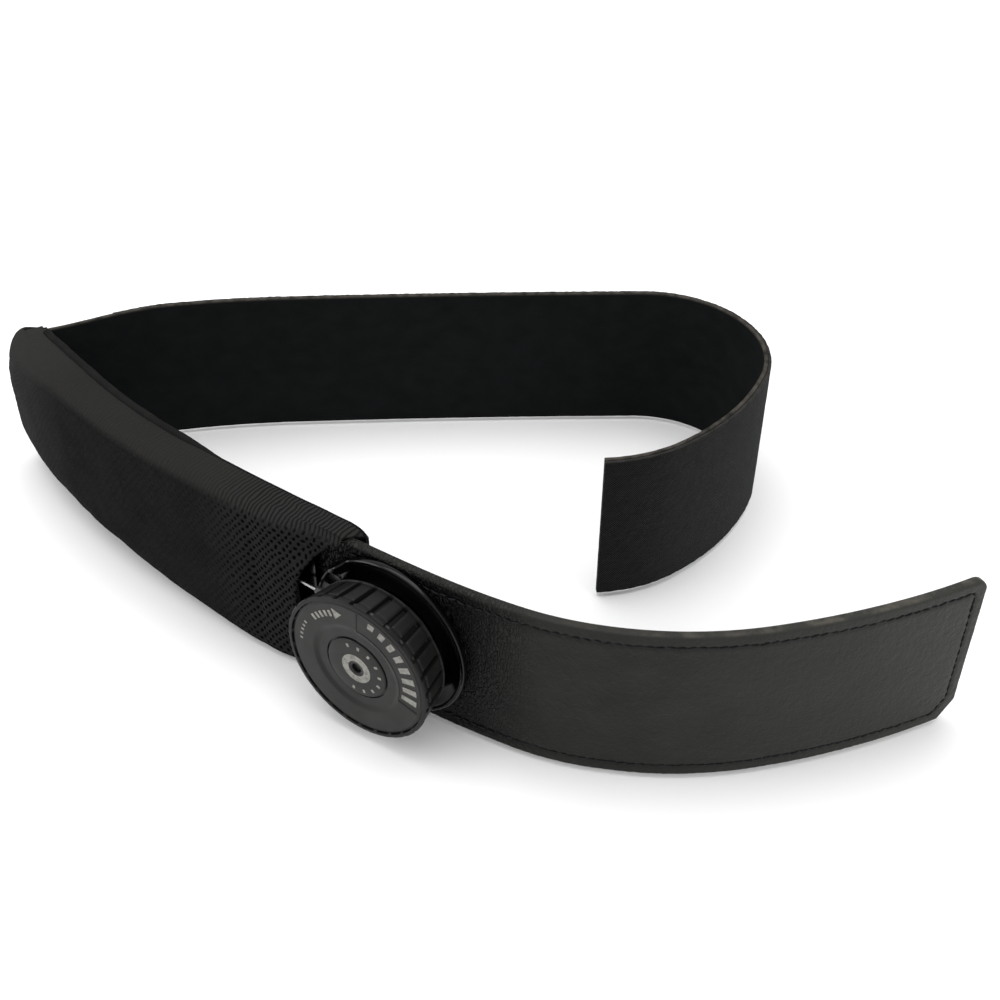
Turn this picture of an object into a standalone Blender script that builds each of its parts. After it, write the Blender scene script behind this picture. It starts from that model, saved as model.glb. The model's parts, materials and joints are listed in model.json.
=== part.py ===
"""A weight belt with a padded ballast sleeve, a leather closing tab, a reel dial and a hook-and-loop strap.

The belt stands on its lower edges. Lengths along the belt are measured from the dial: s runs
towards the tab's end, z upwards, and h outwards from the leather's outer face.
"""

import math

import bmesh
import bpy
from mathutils import Matrix, Vector

MM = 0.001
GAP = 0.3 * MM  # clearance between pieces that touch on the real belt

# Overall sizes
STRAP_WIDTH = 50.0 * MM
DIAL_RADIUS = 22.6 * MM
DIAL_HEADING = math.radians(-33.0)

# The belt's plan line as arcs (length, turn in degrees), from the dial to the tab's end
TAB_ARCS = [(15 * MM, 2), (22 * MM, 6), (20 * MM, 13), (45 * MM, 24), (40 * MM, 10), (21 * MM, 6)]
# and from the dial back through the sleeve, turns seen while walking that way
SLEEVE_ARCS = [(75 * MM, -4), (97 * MM, -23.5)]
# The back strap's inner face, from the fold to its free end
STRAP_HEADING = math.radians(21.0)
STRAP_ARCS = [(82 * MM, -17), (119 * MM, -2.5), (69 * MM, -114), (46 * MM, -32), (24 * MM, -32)]

# Tab layers, from the outer face inwards
LEATHER_THICKNESS = 1.2 * MM
CORE_THICKNESS = 0.9 * MM
LINING_THICKNESS = 0.8 * MM
HOOK_THICKNESS = 1.0 * MM
HOOK_LENGTH = 80 * MM
TAB_MARGIN = 3.0 * MM  # how far the hook patch stays inside the tab's edge
TAB_CORNER_RADIUS = 4.0 * MM
TAB_CHAMFER_LENGTH = 5.0 * MM
TAB_CHAMFER_HEIGHT = 6.0 * MM
LEATHER_UNDERLAP = 36 * MM  # leather held inside the sleeve's mouth

# Sleeve
SLEEVE_MOUTH = -15.0 * MM
SLEEVE_LENGTH = 150.0 * MM
SLEEVE_BACK = 6.6 * MM
SLEEVE_END_BACK = 5.6 * MM
SLEEVE_TAPER = 12.0 * MM
SLEEVE_CROWN = 0.8 * MM
SLEEVE_CORNER = 3.6 * MM
COVER_THICKNESS = 0.8 * MM
PANEL_THICKNESS = 1.0 * MM
BINDING_THICKNESS = 0.6 * MM
BINDING_DROP = 5.0 * MM
LACE_HEADROOM = 0.4 * MM  # between the lace and the cover
MOUTH_CLEARANCE = 4.5 * MM  # between the reel's flange and the cut in the cover

# Ballast and foam
PACK_COUNT = 4
PACK_SPACING = 1.5 * MM
PACK_INSIDE = -2.9 * MM
PACK_TO_LACE = 0.8 * MM
PACK_TO_TAIL = 4.0 * MM  # from the reel's tail to the first pack
PACK_TO_ANCHOR = 4.4 * MM  # from the last pack to the anchor, drawn in
FOAM_LEAD = 2.0 * MM
PACK_EDGE = 5.0 * MM
PACK_BEVEL = 1.2 * MM
FOAM_EDGE = 3.5 * MM

# Reel
FLANGE_REACH = 1.9 * MM  # beyond the dial
FLANGE_THICKNESS = 1.6 * MM
TAIL_LENGTH = 40.0 * MM
TAIL_HALF_WIDTH = 15.0 * MM
POST_RADIUS = 3.2 * MM
HOUSING_WALL = 2.8 * MM
KNOB_CLEARANCE = 1.1 * MM  # between the housing and the grip
TOOTH_COUNT = 30
TOOTH_DEPTH = 0.9 * MM
TOOTH_BASE = 7.0 * MM
SPOOL_CLEARANCE = 0.5 * MM
SPOOL_HUB = 6.5 * MM
SPOOL_FLANGE = 0.6 * MM
SPOOL_GROOVE = 1.8 * MM
SPOOL_CROWN = 1.5 * MM
RATCHET_THICKNESS = 1.5 * MM
RATCHET_BODY_INSET = 4.3 * MM  # the ratchet's radii, inwards from the housing's teeth
ARM_INNER_INSET = 3.0 * MM
ARM_OUTER_INSET = 1.6 * MM
ARM_TIP_INSET = 0.4 * MM
KNOB_LIFT = 2.0 * MM  # pulled out, the ratchet clears the housing's teeth
SPRING_WIRE = 0.45 * MM
SPRING_TURNS = 2.25
WASHER_THICKNESS = 0.4 * MM
WASHER_RADIUS = 4.2 * MM
SCREW_HEAD = 1.2 * MM
SCREW_HEAD_RADIUS = 3.6 * MM
SCREW_RADIUS = 1.2 * MM

# Knob
PLATE_THICKNESS = 1.0 * MM
KNOB_HUB_WALL = 3.6 * MM
GRIP_FLARE = 2.3 * MM
GRIP_WALL = 2.7 * MM
GRIP_LIP = 1.2 * MM
BEAD_HEIGHT = 1.6 * MM
RIB_COUNT = 26
SLOT_WIDTH = 0.9 * MM
SLOT_DEPTH = 1.5 * MM
FACE_THICKNESS = 0.9 * MM
BADGE_RADIUS = 9.4 * MM
BADGE_HOLE = 1.5 * MM
BADGE_THICKNESS = 0.7 * MM

# Lace
LACE_DIAMETER = 1.0 * MM
GUIDE_OUTER = 1.1 * MM
GUIDE_INNER = 0.8 * MM
GUIDE_LENGTH = 9.0 * MM
WRAP_ANGLE = math.radians(280)

# Anchor and back strap
TAKE_UP = 20.0 * MM
ANCHOR_THICKNESS = 1.8 * MM
ANCHOR_EDGE = 3.0 * MM
BOLLARD_SETBACK = 22.5 * MM
ANCHOR_RIM = 3.0 * MM
FOLD_PIN_RADIUS = 3.2 * MM
ROOT_THICKNESS = 1.3 * MM
ROOT_LENGTH = 22.0 * MM
STRAP_THICKNESS = 1.2 * MM
PILE_THICKNESS = 0.8 * MM
PILE_INSET = 1.0 * MM

PATH_STEP = 7.0 * MM
TURN_STEPS = 48


# ---------------------------------------------------------------- plan lines


class Line:
    """A plan line made of arcs. Its outward side is on the right of travel, or the left with side=-1."""

    def __init__(self, start, heading, ahead, behind=(), side=1):
        self.start = start
        self.heading = heading
        self.ahead = ahead
        self.behind = behind
        self.side = side

    def walk(self, heading, arcs, distance):
        """The point and heading after walking a distance, straight on past the last arc."""
        point = self.start.copy()
        for length, turn in arcs:
            part = min(distance, length)
            bend = math.radians(turn) * part / length
            chord = part * (math.sin(bend / 2) / (bend / 2) if abs(bend) > 1e-9 else 1)
            middle = heading + bend / 2
            point += Vector((math.cos(middle), math.sin(middle))) * chord
            heading += bend
            distance -= part
            if distance <= 0:
                return point, heading
        return point + Vector((math.cos(heading), math.sin(heading))) * distance, heading

    def at(self, s):
        if s >= 0:
            return self.walk(self.heading, self.ahead, s)
        point, heading = self.walk(self.heading + math.pi, self.behind, -s)
        return point, heading - math.pi

    def place(self, s, h):
        """The plan point at s, moved h outwards."""
        point, heading = self.at(s)
        outward = Vector((math.sin(heading), -math.cos(heading))) * self.side
        return point + outward * h

    def length(self):
        return sum(length for length, _ in self.ahead)


def stations(start, end, step=PATH_STEP):
    count = max(1, math.ceil(abs(end - start) / step))
    return [start + (end - start) * i / count for i in range(count + 1)]


DIAL_FOOT = Vector((0, 0))
BELT = Line(DIAL_FOOT, DIAL_HEADING, TAB_ARCS, SLEEVE_ARCS)
TAB_LENGTH = BELT.length()
SLEEVE_END = SLEEVE_MOUTH - SLEEVE_LENGTH
FOLD_ROLL = FOLD_PIN_RADIUS + GAP + ROOT_THICKNESS  # the strap's turn round the pin
FOLD_S = SLEEVE_END - FOLD_ROLL - GAP
FOLD_POINT = BELT.place(FOLD_S, 0)
STRAP = Line(FOLD_POINT, STRAP_HEADING, STRAP_ARCS, side=-1)
STRAP_LENGTH = STRAP.length()
MID_HEIGHT = STRAP_WIDTH / 2
SLEEVE_LOW = -GAP - COVER_THICKNESS
SLEEVE_HIGH = STRAP_WIDTH + GAP + COVER_THICKNESS

# Radii in the reel, from the dial inwards
GRIP_SEAT = DIAL_RADIUS - GRIP_LIP
GRIP_BACK_RADIUS = DIAL_RADIUS - GRIP_FLARE
GRIP_INNER_RADIUS = GRIP_BACK_RADIUS - GRIP_WALL
HOUSING_OUTER = GRIP_INNER_RADIUS - KNOB_CLEARANCE
HOUSING_INNER = HOUSING_OUTER - HOUSING_WALL
SPOOL_RADIUS = HOUSING_INNER - SPOOL_CLEARANCE
FLANGE_RADIUS = DIAL_RADIUS + FLANGE_REACH
WRAP_RADIUS = SPOOL_HUB + GAP + LACE_DIAMETER / 2

# Heights in the reel, outwards from the leather's face
FLANGE_TOP = GAP + FLANGE_THICKNESS
SPOOL_BASE = FLANGE_TOP + 2 * GAP
GROOVE_BASE = SPOOL_BASE + SPOOL_FLANGE
GROOVE_TOP = GROOVE_BASE + SPOOL_GROOVE
LACE_HEIGHT = (GROOVE_BASE + GROOVE_TOP) / 2
SPOOL_TOP = GROOVE_TOP + SPOOL_CROWN
RATCHET_BASE = SPOOL_TOP + GAP
RATCHET_TOP = RATCHET_BASE + RATCHET_THICKNESS
HOUSING_TOP = RATCHET_BASE + KNOB_LIFT - GAP
POST_TOP = RATCHET_TOP + GAP + KNOB_LIFT + SPRING_WIRE * SPRING_TURNS
WASHER_BASE = POST_TOP + GAP
WASHER_TOP = WASHER_BASE + WASHER_THICKNESS
HEAD_BASE = WASHER_TOP + GAP
HEAD_TOP = HEAD_BASE + SCREW_HEAD
PLATE_BASE = HEAD_TOP + GAP
PLATE_TOP = PLATE_BASE + PLATE_THICKNESS
FACE_BASE = PLATE_TOP + GAP
FACE_TOP = FACE_BASE + FACE_THICKNESS
GRIP_BASE = LACE_HEIGHT + GUIDE_OUTER + GAP
GRIP_TOP = FACE_TOP + 0.2 * MM
SLEEVE_FRONT = LACE_HEIGHT + LACE_DIAMETER / 2 + LACE_HEADROOM + COVER_THICKNESS

# The anchor and the packs, along the sleeve
ANCHOR_TIP = FOLD_S + FOLD_PIN_RADIUS
BOLLARD_RADIUS = WRAP_RADIUS - GAP - LACE_DIAMETER / 2
BOLLARD_S = ANCHOR_TIP + BOLLARD_SETBACK
ANCHOR_FRONT = BOLLARD_S + BOLLARD_RADIUS + 1.0 * MM
PACK_START = -TAIL_LENGTH - PACK_TO_TAIL
PACK_END = ANCHOR_FRONT + TAKE_UP + PACK_TO_ANCHOR
PACK_PITCH = (PACK_START - PACK_END + PACK_SPACING) / PACK_COUNT
PACK_LENGTH = PACK_PITCH - PACK_SPACING
PACK_OUTSIDE = LACE_HEIGHT - LACE_DIAMETER / 2 - PACK_TO_LACE


# ---------------------------------------------------------------- building helpers


def clear_scene():
    for obj in list(bpy.data.objects):
        bpy.data.objects.remove(obj, do_unlink=True)


def new_collection(name, hidden=False):
    collection = bpy.data.collections.new(name)
    bpy.context.scene.collection.children.link(collection)
    collection.hide_render = hidden
    return collection


def material(name, color, roughness, metallic=0.0):
    made = bpy.data.materials.new(name)
    made.use_nodes = True
    shader = made.node_tree.nodes["Principled BSDF"]
    shader.inputs["Base Color"].default_value = (*color, 1)
    shader.inputs["Roughness"].default_value = roughness
    shader.inputs["Metallic"].default_value = metallic
    return made


def add_object(name, data, finish=None, parent=None, collection=None):
    obj = bpy.data.objects.new(name, data)
    (collection or BELT_PARTS).objects.link(obj)
    if finish:
        data.materials.append(finish)
    if parent:
        obj.parent = parent
    return obj


def cutter(name, data, parent=None):
    obj = add_object(name, data, parent=parent, collection=CUTTERS)
    obj.hide_render = True
    obj.display_type = "WIRE"
    return obj


def cut(obj, tool, operation="DIFFERENCE"):
    modifier = obj.modifiers.new(operation.title(), "BOOLEAN")
    modifier.object = tool
    modifier.operation = operation
    modifier.solver = "EXACT"


def mesh_of(curve):
    """The filled curve as a welded mesh. The curve's own data is removed."""
    helper = bpy.data.objects.new("outline", curve)
    bpy.context.scene.collection.objects.link(helper)
    graph = bpy.context.evaluated_depsgraph_get()
    mesh = bpy.data.meshes.new_from_object(helper.evaluated_get(graph))
    bpy.data.objects.remove(helper, do_unlink=True)
    bpy.data.curves.remove(curve)
    form = bmesh.new()
    form.from_mesh(mesh)
    bmesh.ops.remove_doubles(form, verts=form.verts, dist=0.00001)
    bmesh.ops.recalc_face_normals(form, faces=form.faces)
    form.to_mesh(mesh)
    form.free()
    return mesh


def slab_mesh(outlines, low, high):
    """A flat outline, with any further outlines as holes in it, between two heights."""
    curve = bpy.data.curves.new("outline", "CURVE")
    curve.dimensions = "2D"
    curve.fill_mode = "BOTH"
    curve.extrude = (high - low) / 2
    for points in outlines:
        spline = curve.splines.new("POLY")
        spline.points.add(len(points) - 1)
        for target, point in zip(spline.points, points):
            target.co = (point[0], point[1], 0, 1)
        spline.use_cyclic_u = True
    mesh = mesh_of(curve)
    mesh.transform(Matrix.Translation((0, 0, (low + high) / 2)))
    return mesh


def ribbon(name, line, span, inside, outside, heights, finish, parent=None):
    """A strip that follows a line, between two distances from it, which may vary along it."""

    def distance(value, s):
        return value(s) if callable(value) else value

    along = stations(*span)
    outer = [line.place(s, distance(outside, s)) for s in along]
    inner = [line.place(s, distance(inside, s)) for s in reversed(along)]
    mesh = slab_mesh([outer + inner], *heights)
    obj = add_object(name, mesh, finish)
    if parent:
        hang(obj, parent)
    return obj


def turned(name, profile, finish, parent, steps=TURN_STEPS, ring=False):
    """A turned piece: its profile (radius, height) runs down the outer side, and a ring's closes on itself."""
    mesh = bpy.data.meshes.new(name)
    edges = [(i, i + 1) for i in range(len(profile) - 1)]
    if ring:
        edges.append((len(profile) - 1, 0))
    mesh.from_pydata([(radius, 0, height) for radius, height in profile], edges, [])
    obj = add_object(name, mesh, finish, parent)
    screw = obj.modifiers.new("Screw", "SCREW")
    screw.steps = steps
    screw.render_steps = steps
    screw.use_merge_vertices = True
    screw.merge_threshold = 0.00001
    screw.use_smooth_shade = True
    return obj


def tube(name, points, radius, finish, parent=None, cyclic=False):
    curve = bpy.data.curves.new(name, "CURVE")
    curve.dimensions = "3D"
    curve.bevel_depth = radius
    curve.bevel_resolution = 2
    curve.use_fill_caps = True
    spline = curve.splines.new("POLY")
    spline.points.add(len(points) - 1)
    for target, point in zip(spline.points, points):
        target.co = (*point, 1)
    spline.use_cyclic_u = cyclic
    return add_object(name, curve, finish, parent)


def hang(obj, parent):
    """Parents an object to an empty and leaves it where it is."""
    bpy.context.view_layer.update()
    obj.parent = parent
    obj.matrix_parent_inverse = parent.matrix_world.inverted()


def joint_empty(name, location, rotation=None):
    obj = bpy.data.objects.new(name, None)
    BELT_PARTS.objects.link(obj)
    obj.empty_display_size = 0.02
    obj.location = location
    if rotation:
        obj.rotation_euler = rotation.to_euler()
    return obj


def circle(radius, count=TURN_STEPS, center=(0, 0)):
    step = 2 * math.pi / count
    return [
        (center[0] + radius * math.cos(i * step), center[1] + radius * math.sin(i * step))
        for i in range(count)
    ]


def polar(radius, degrees):
    angle = math.radians(degrees)
    return radius * math.cos(angle), radius * math.sin(angle)


def arc(radius, first, last, step=8):
    """Points on an arc about the centre, between two angles in degrees."""
    count = max(1, round(abs(last - first) / step))
    return [polar(radius, first + (last - first) * i / count) for i in range(count + 1)]


# ---------------------------------------------------------------- tab


def corner_cutter():
    """What the tab's two end corners lose: a rounding at the top and a chamfer at the bottom."""
    over = 3 * MM
    end, top = TAB_LENGTH, STRAP_WIDTH
    radius = TAB_CORNER_RADIUS
    rounding = [
        (end - radius * (1 - math.sin(a)), top - radius * (1 - math.cos(a)))
        for a in [math.pi / 2 * i / 4 for i in range(5)]
    ]
    upper = [(end + over, top - radius), (end + over, top + over), (end - radius, top + over)]
    lower = [
        (end - TAB_CHAMFER_LENGTH, -over),
        (end + over, -over),
        (end + over, TAB_CHAMFER_HEIGHT),
        (end, TAB_CHAMFER_HEIGHT),
        (end - TAB_CHAMFER_LENGTH, 0),
    ]
    depth = 10 * MM
    for name, outline in (("top_corner", upper + rounding), ("bottom_corner", lower)):
        mesh = slab_mesh([outline], -depth, depth)
        point, heading = BELT.at(TAB_LENGTH)
        turn = Matrix.Rotation(heading, 4, "Z") @ Matrix.Rotation(math.pi / 2, 4, "X")
        mesh.transform(Matrix.Translation((-TAB_LENGTH, 0, 0)))
        mesh.transform(Matrix.Translation((*point, 0)) @ turn)
        yield cutter(name, mesh)


def build_tab():
    leather = material("leather", (0.03, 0.028, 0.027), 0.42)
    webbing = material("webbing", (0.012, 0.012, 0.014), 0.85)
    lining = material("lining", (0.015, 0.015, 0.017), 0.8)
    hook = material("hook_tape", (0.01, 0.01, 0.011), 0.75)
    span = (-LEATHER_UNDERLAP, TAB_LENGTH)
    full = (0, STRAP_WIDTH)
    inset = (GAP, STRAP_WIDTH - GAP)
    core_top = -LEATHER_THICKNESS - GAP
    lining_top = core_top - CORE_THICKNESS - GAP
    lining_base = lining_top - LINING_THICKNESS
    hook_top = lining_base - GAP
    face = ribbon("leather_face", BELT, span, -LEATHER_THICKNESS, 0, full, leather)
    core = ribbon("core_webbing", BELT, span, core_top - CORE_THICKNESS, core_top, inset, webbing)
    back = ribbon("tab_lining", BELT, span, lining_base, lining_top, inset, lining)
    tools = list(corner_cutter())
    for layer in (face, core, back):
        for tool in tools:
            cut(layer, tool)
    hook_end = TAB_LENGTH - TAB_CORNER_RADIUS - TAB_MARGIN
    ribbon(
        "hook_patch",
        BELT,
        (hook_end - HOOK_LENGTH, hook_end),
        hook_top - HOOK_THICKNESS,
        hook_top,
        (TAB_MARGIN, STRAP_WIDTH - TAB_MARGIN),
        hook,
    )


# ---------------------------------------------------------------- sleeve


def taper(s):
    """0 along the sleeve, rising smoothly to 1 at its far end."""
    part = min(1, max(0, (SLEEVE_END + SLEEVE_TAPER - s) / SLEEVE_TAPER))
    return part * part * (3 - 2 * part)


def back_of(s):
    return SLEEVE_BACK + (SLEEVE_END_BACK - SLEEVE_BACK) * taper(s)


def rounded_corner(h, z, sign_h, sign_z, radius, count=4):
    """Points of a quarter round at a corner, from its upright side to its level side."""
    return [
        (
            h - sign_h * radius * (1 - math.cos(math.pi / 2 * i / count)),
            z - sign_z * radius * (1 - math.sin(math.pi / 2 * i / count)),
        )
        for i in range(count + 1)
    ]


def loft(name, sections, finish, thickness):
    """An open sheet through plan sections, given thickness towards its inside."""
    form = bmesh.new()
    rows = [[form.verts.new(point) for point in section] for section in sections]
    for first, second in zip(rows, rows[1:]):
        for i in range(len(first) - 1):
            form.faces.new((first[i], second[i], second[i + 1], first[i + 1]))
    mesh = bpy.data.meshes.new(name)
    form.to_mesh(mesh)
    form.free()
    obj = add_object(name, mesh, finish)
    shell = obj.modifiers.new("Solidify", "SOLIDIFY")
    shell.thickness = thickness
    shell.offset = -1
    shell.use_even_offset = True
    return obj


def sleeve_section(s, low, high, edge):
    """The cover's outer surface at s: from the back edge over the top, down the front and under."""
    rear = -back_of(s) + edge
    top = rounded_corner(SLEEVE_FRONT, high, 1, 1, SLEEVE_CORNER)
    bottom = rounded_corner(SLEEVE_FRONT, low, 1, -1, SLEEVE_CORNER)
    crown = [(SLEEVE_FRONT + SLEEVE_CROWN, (low + high) / 2)]
    outline = [(rear, high)] + top[::-1] + crown + bottom + [(rear, low)]
    return [(*BELT.place(s, h), z) for h, z in outline]


def binding_section(s, high, reach):
    """The binding over the sleeve's top edge, from front to back."""
    front = SLEEVE_FRONT + reach
    rear = -back_of(s) - reach
    corner = SLEEVE_CORNER + reach
    drop = high - BINDING_DROP
    front_side = [(front, drop)] + rounded_corner(front, high, 1, 1, corner)
    rear_side = rounded_corner(rear, high, -1, 1, reach)[::-1] + [(rear, drop)]
    return [(*BELT.place(s, h), z) for h, z in (front_side + rear_side)[::-1]]


def build_sleeve(dial_frame):
    canvas = material("canvas", (0.013, 0.013, 0.014), 0.9)
    panel_cloth = material("panel_cloth", (0.011, 0.011, 0.012), 0.9)
    tape = material("binding_tape", (0.012, 0.012, 0.013), 0.85)
    foam = material("foam", (0.05, 0.05, 0.052), 0.95)
    shot = material("ballast", (0.12, 0.12, 0.125), 0.6, 0.6)
    low, high = SLEEVE_LOW, SLEEVE_HIGH
    span = (SLEEVE_MOUTH, SLEEVE_END)
    seam = PANEL_THICKNESS + GAP
    along = stations(*span)
    cover = loft(
        "sleeve_front_cover",
        [sleeve_section(s, low, high, seam) for s in along],
        canvas,
        COVER_THICKNESS,
    )
    mouth = bmesh.new()
    bmesh.ops.create_cone(
        mouth,
        cap_ends=True,
        segments=TURN_STEPS,
        radius1=FLANGE_RADIUS + MOUTH_CLEARANCE,
        radius2=FLANGE_RADIUS + MOUTH_CLEARANCE,
        depth=20 * MM,
    )
    mesh = bpy.data.meshes.new("mouth_cut")
    bmesh.ops.translate(mouth, verts=mouth.verts, vec=(0, 0, 12 * MM))
    mouth.to_mesh(mesh)
    mouth.free()
    cut(cover, cutter("mouth_cut", mesh, dial_frame))
    ribbon(
        "sleeve_back_panel",
        BELT,
        span,
        lambda s: -back_of(s),
        lambda s: -back_of(s) + PANEL_THICKNESS,
        (low, high),
        panel_cloth,
    )
    reach = GAP + BINDING_THICKNESS
    loft(
        "top_binding",
        [binding_section(s, high + reach, reach) for s in along],
        tape,
        BINDING_THICKNESS,
    )
    foam_span = (PACK_START + FOAM_LEAD, PACK_END - PACK_SPACING)
    ribbon(
        "sleeve_foam",
        BELT,
        foam_span,
        lambda s: -back_of(s) + PANEL_THICKNESS + GAP,
        PACK_INSIDE - GAP,
        (FOAM_EDGE, STRAP_WIDTH - FOAM_EDGE),
        foam,
    )
    for index in range(PACK_COUNT):
        build_pack(index, shot)


def build_pack(index, finish):
    middle = PACK_START - PACK_PITCH * index - PACK_LENGTH / 2
    point, heading = BELT.at(middle)
    form = bmesh.new()
    bmesh.ops.create_cube(form, size=1)
    size = (PACK_LENGTH, PACK_OUTSIDE - PACK_INSIDE, STRAP_WIDTH - 2 * PACK_EDGE)
    bmesh.ops.scale(form, vec=size, verts=form.verts)
    mesh = bpy.data.meshes.new("ballast_pack")
    form.to_mesh(mesh)
    form.free()
    pack = add_object(f"ballast_pack_{index + 1}", mesh, finish)
    outward = BELT.place(middle, (PACK_INSIDE + PACK_OUTSIDE) / 2)
    pack.location = (*outward, MID_HEIGHT)
    pack.rotation_euler = (0, 0, heading)
    bevel = pack.modifiers.new("Bevel", "BEVEL")
    bevel.width = PACK_BEVEL
    bevel.segments = 2


# ---------------------------------------------------------------- reel


def flange_outline():
    """The flange's round plate with the tail that runs under the sleeve's mouth."""
    meet = math.degrees(math.asin(TAIL_HALF_WIDTH / FLANGE_RADIUS))
    corner = 3 * MM
    tail = [
        (-TAIL_LENGTH + corner, -TAIL_HALF_WIDTH),
        (-TAIL_LENGTH, -TAIL_HALF_WIDTH + corner),
        (-TAIL_LENGTH, TAIL_HALF_WIDTH - corner),
        (-TAIL_LENGTH + corner, TAIL_HALF_WIDTH),
    ]
    return arc(FLANGE_RADIUS, -180 + meet, 180 - meet, 7) + tail[::-1]


def build_base(frame):
    gloss = material("gloss_plastic", (0.008, 0.008, 0.009), 0.16)
    mesh = slab_mesh([flange_outline()], GAP, FLANGE_TOP)
    base = add_object("reel_base", mesh, gloss, frame)
    bore = SCREW_RADIUS + GAP
    overlap = 0.8 * MM
    profile = [
        (bore, POST_TOP),
        (POST_RADIUS, POST_TOP),
        (POST_RADIUS, FLANGE_TOP - overlap),
        (bore, FLANGE_TOP - overlap),
    ]
    post = turned("post_shape", profile, None, frame, steps=32, ring=True)
    CUTTERS.objects.link(post)
    BELT_PARTS.objects.unlink(post)
    post.hide_render = True
    post.display_type = "WIRE"
    cut(base, post, "UNION")


def housing_profile():
    """The toothed ring's inside outline seen from the front."""
    points = []
    pitch = 360 / TOOTH_COUNT
    for index in range(TOOTH_COUNT):
        start = index * pitch
        points.append(polar(HOUSING_INNER, start))
        points.append(polar(HOUSING_INNER + TOOTH_DEPTH, start + 0.85 * pitch))
    return points


def build_housing(frame):
    nylon = material("nylon", (0.02, 0.02, 0.021), 0.5)
    base = FLANGE_TOP + GAP
    mesh = slab_mesh([circle(HOUSING_OUTER), circle(HOUSING_INNER)], base, TOOTH_BASE)
    lower = add_object("reel_housing", mesh, nylon, frame)
    ring = slab_mesh(
        [circle(HOUSING_OUTER), housing_profile()], TOOTH_BASE - 0.5 * MM, HOUSING_TOP
    )
    cut(lower, cutter("toothed_ring", ring, frame), "UNION")
    for name, height in (("upper_port", WRAP_RADIUS), ("lower_port", -WRAP_RADIUS)):
        form = bmesh.new()
        bmesh.ops.create_cone(
            form,
            cap_ends=True,
            segments=16,
            radius1=GUIDE_OUTER + GAP,
            radius2=GUIDE_OUTER + GAP,
            depth=14 * MM,
        )
        turn = Matrix.Rotation(math.pi / 2, 4, "Y")
        place = Matrix.Translation((-HOUSING_OUTER, height, LACE_HEIGHT))
        bmesh.ops.transform(form, matrix=place @ turn, verts=form.verts)
        port = bpy.data.meshes.new(name)
        form.to_mesh(port)
        form.free()
        cut(lower, cutter(name, port, frame))


def build_guides(frame):
    brass = material("guide_liner", (0.03, 0.03, 0.03), 0.35)
    wall = (HOUSING_OUTER + HOUSING_INNER) / 2
    start = -math.sqrt(wall**2 - WRAP_RADIUS**2)
    for name, height in (("lace_guide_upper", WRAP_RADIUS), ("lace_guide_lower", -WRAP_RADIUS)):
        profile = [
            (GUIDE_INNER, GUIDE_LENGTH),
            (GUIDE_OUTER, GUIDE_LENGTH),
            (GUIDE_OUTER, 0),
            (GUIDE_INNER, 0),
        ]
        guide = turned(name, profile, brass, frame, steps=16, ring=True)
        guide.location = (start, height, LACE_HEIGHT)
        guide.rotation_euler = (0, -math.pi / 2, 0)


def build_spool(frame):
    nylon = material("spool_nylon", (0.025, 0.025, 0.026), 0.45)
    bore = POST_RADIUS + GAP
    profile = [
        (bore, SPOOL_TOP),
        (SPOOL_RADIUS, SPOOL_TOP),
        (SPOOL_RADIUS, GROOVE_TOP),
        (SPOOL_HUB, GROOVE_TOP),
        (SPOOL_HUB, GROOVE_BASE),
        (SPOOL_RADIUS, GROOVE_BASE),
        (SPOOL_RADIUS, SPOOL_BASE),
        (bore, SPOOL_BASE),
    ]
    turned("spool", profile, nylon, frame, ring=True)


def ratchet_outline():
    """A disc with three spring arms, each a band that ends in a tooth."""
    body = HOUSING_INNER - RATCHET_BODY_INSET
    arm_inside = HOUSING_INNER - ARM_INNER_INSET
    arm_outside = HOUSING_INNER - ARM_OUTER_INSET
    tip = HOUSING_INNER - ARM_TIP_INSET
    points = []
    for sector in (0, 120, 240):
        points += arc(body, sector, sector + 80)
        points += arc(arm_inside, sector + 82, sector + 30)
        points += [polar(tip, sector + 30)]
        points += arc(arm_outside, sector + 37, sector + 104)
        points += [polar(body, sector + 112)]
    return points


def build_ratchet(frame):
    acetal = material("acetal", (0.55, 0.55, 0.53), 0.4)
    outlines = [ratchet_outline(), circle(POST_RADIUS + GAP, 32)]
    mesh = slab_mesh(outlines, RATCHET_BASE, RATCHET_TOP)
    add_object("ratchet_disc", mesh, acetal, frame)


def build_fasteners(frame):
    steel = material("stainless_steel", (0.55, 0.55, 0.56), 0.25, 1.0)
    low = FLANGE_TOP + 0.3 * MM
    head = [
        (0, HEAD_TOP),
        (SCREW_HEAD_RADIUS - 0.5 * MM, HEAD_TOP),
        (SCREW_HEAD_RADIUS, HEAD_TOP - 0.5 * MM),
        (SCREW_HEAD_RADIUS, HEAD_BASE),
        (SCREW_RADIUS, HEAD_BASE),
        (SCREW_RADIUS, low),
        (0, low),
    ]
    turned("axle_screw", head, steel, frame, steps=32)
    bore = SCREW_RADIUS + GAP
    washer = [
        (bore, WASHER_TOP),
        (WASHER_RADIUS, WASHER_TOP),
        (WASHER_RADIUS, WASHER_BASE),
        (bore, WASHER_BASE),
    ]
    turned("axle_washer", washer, steel, frame, steps=32, ring=True)


def build_spring(frame):
    steel = material("spring_steel", (0.4, 0.4, 0.42), 0.3, 1.0)
    radius = POST_RADIUS + GAP + SPRING_WIRE / 2 + 0.1 * MM
    low = RATCHET_TOP + GAP + SPRING_WIRE / 2
    high = WASHER_BASE - GAP - SPRING_WIRE / 2
    count = 40
    points = []
    for index in range(count + 1):
        angle = 2 * math.pi * SPRING_TURNS * index / count
        rise = low + (high - low) * index / count
        points.append((radius * math.cos(angle), radius * math.sin(angle), rise))
    tube("knob_spring", points, SPRING_WIRE / 2, steel, frame)


# ---------------------------------------------------------------- knob


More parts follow.
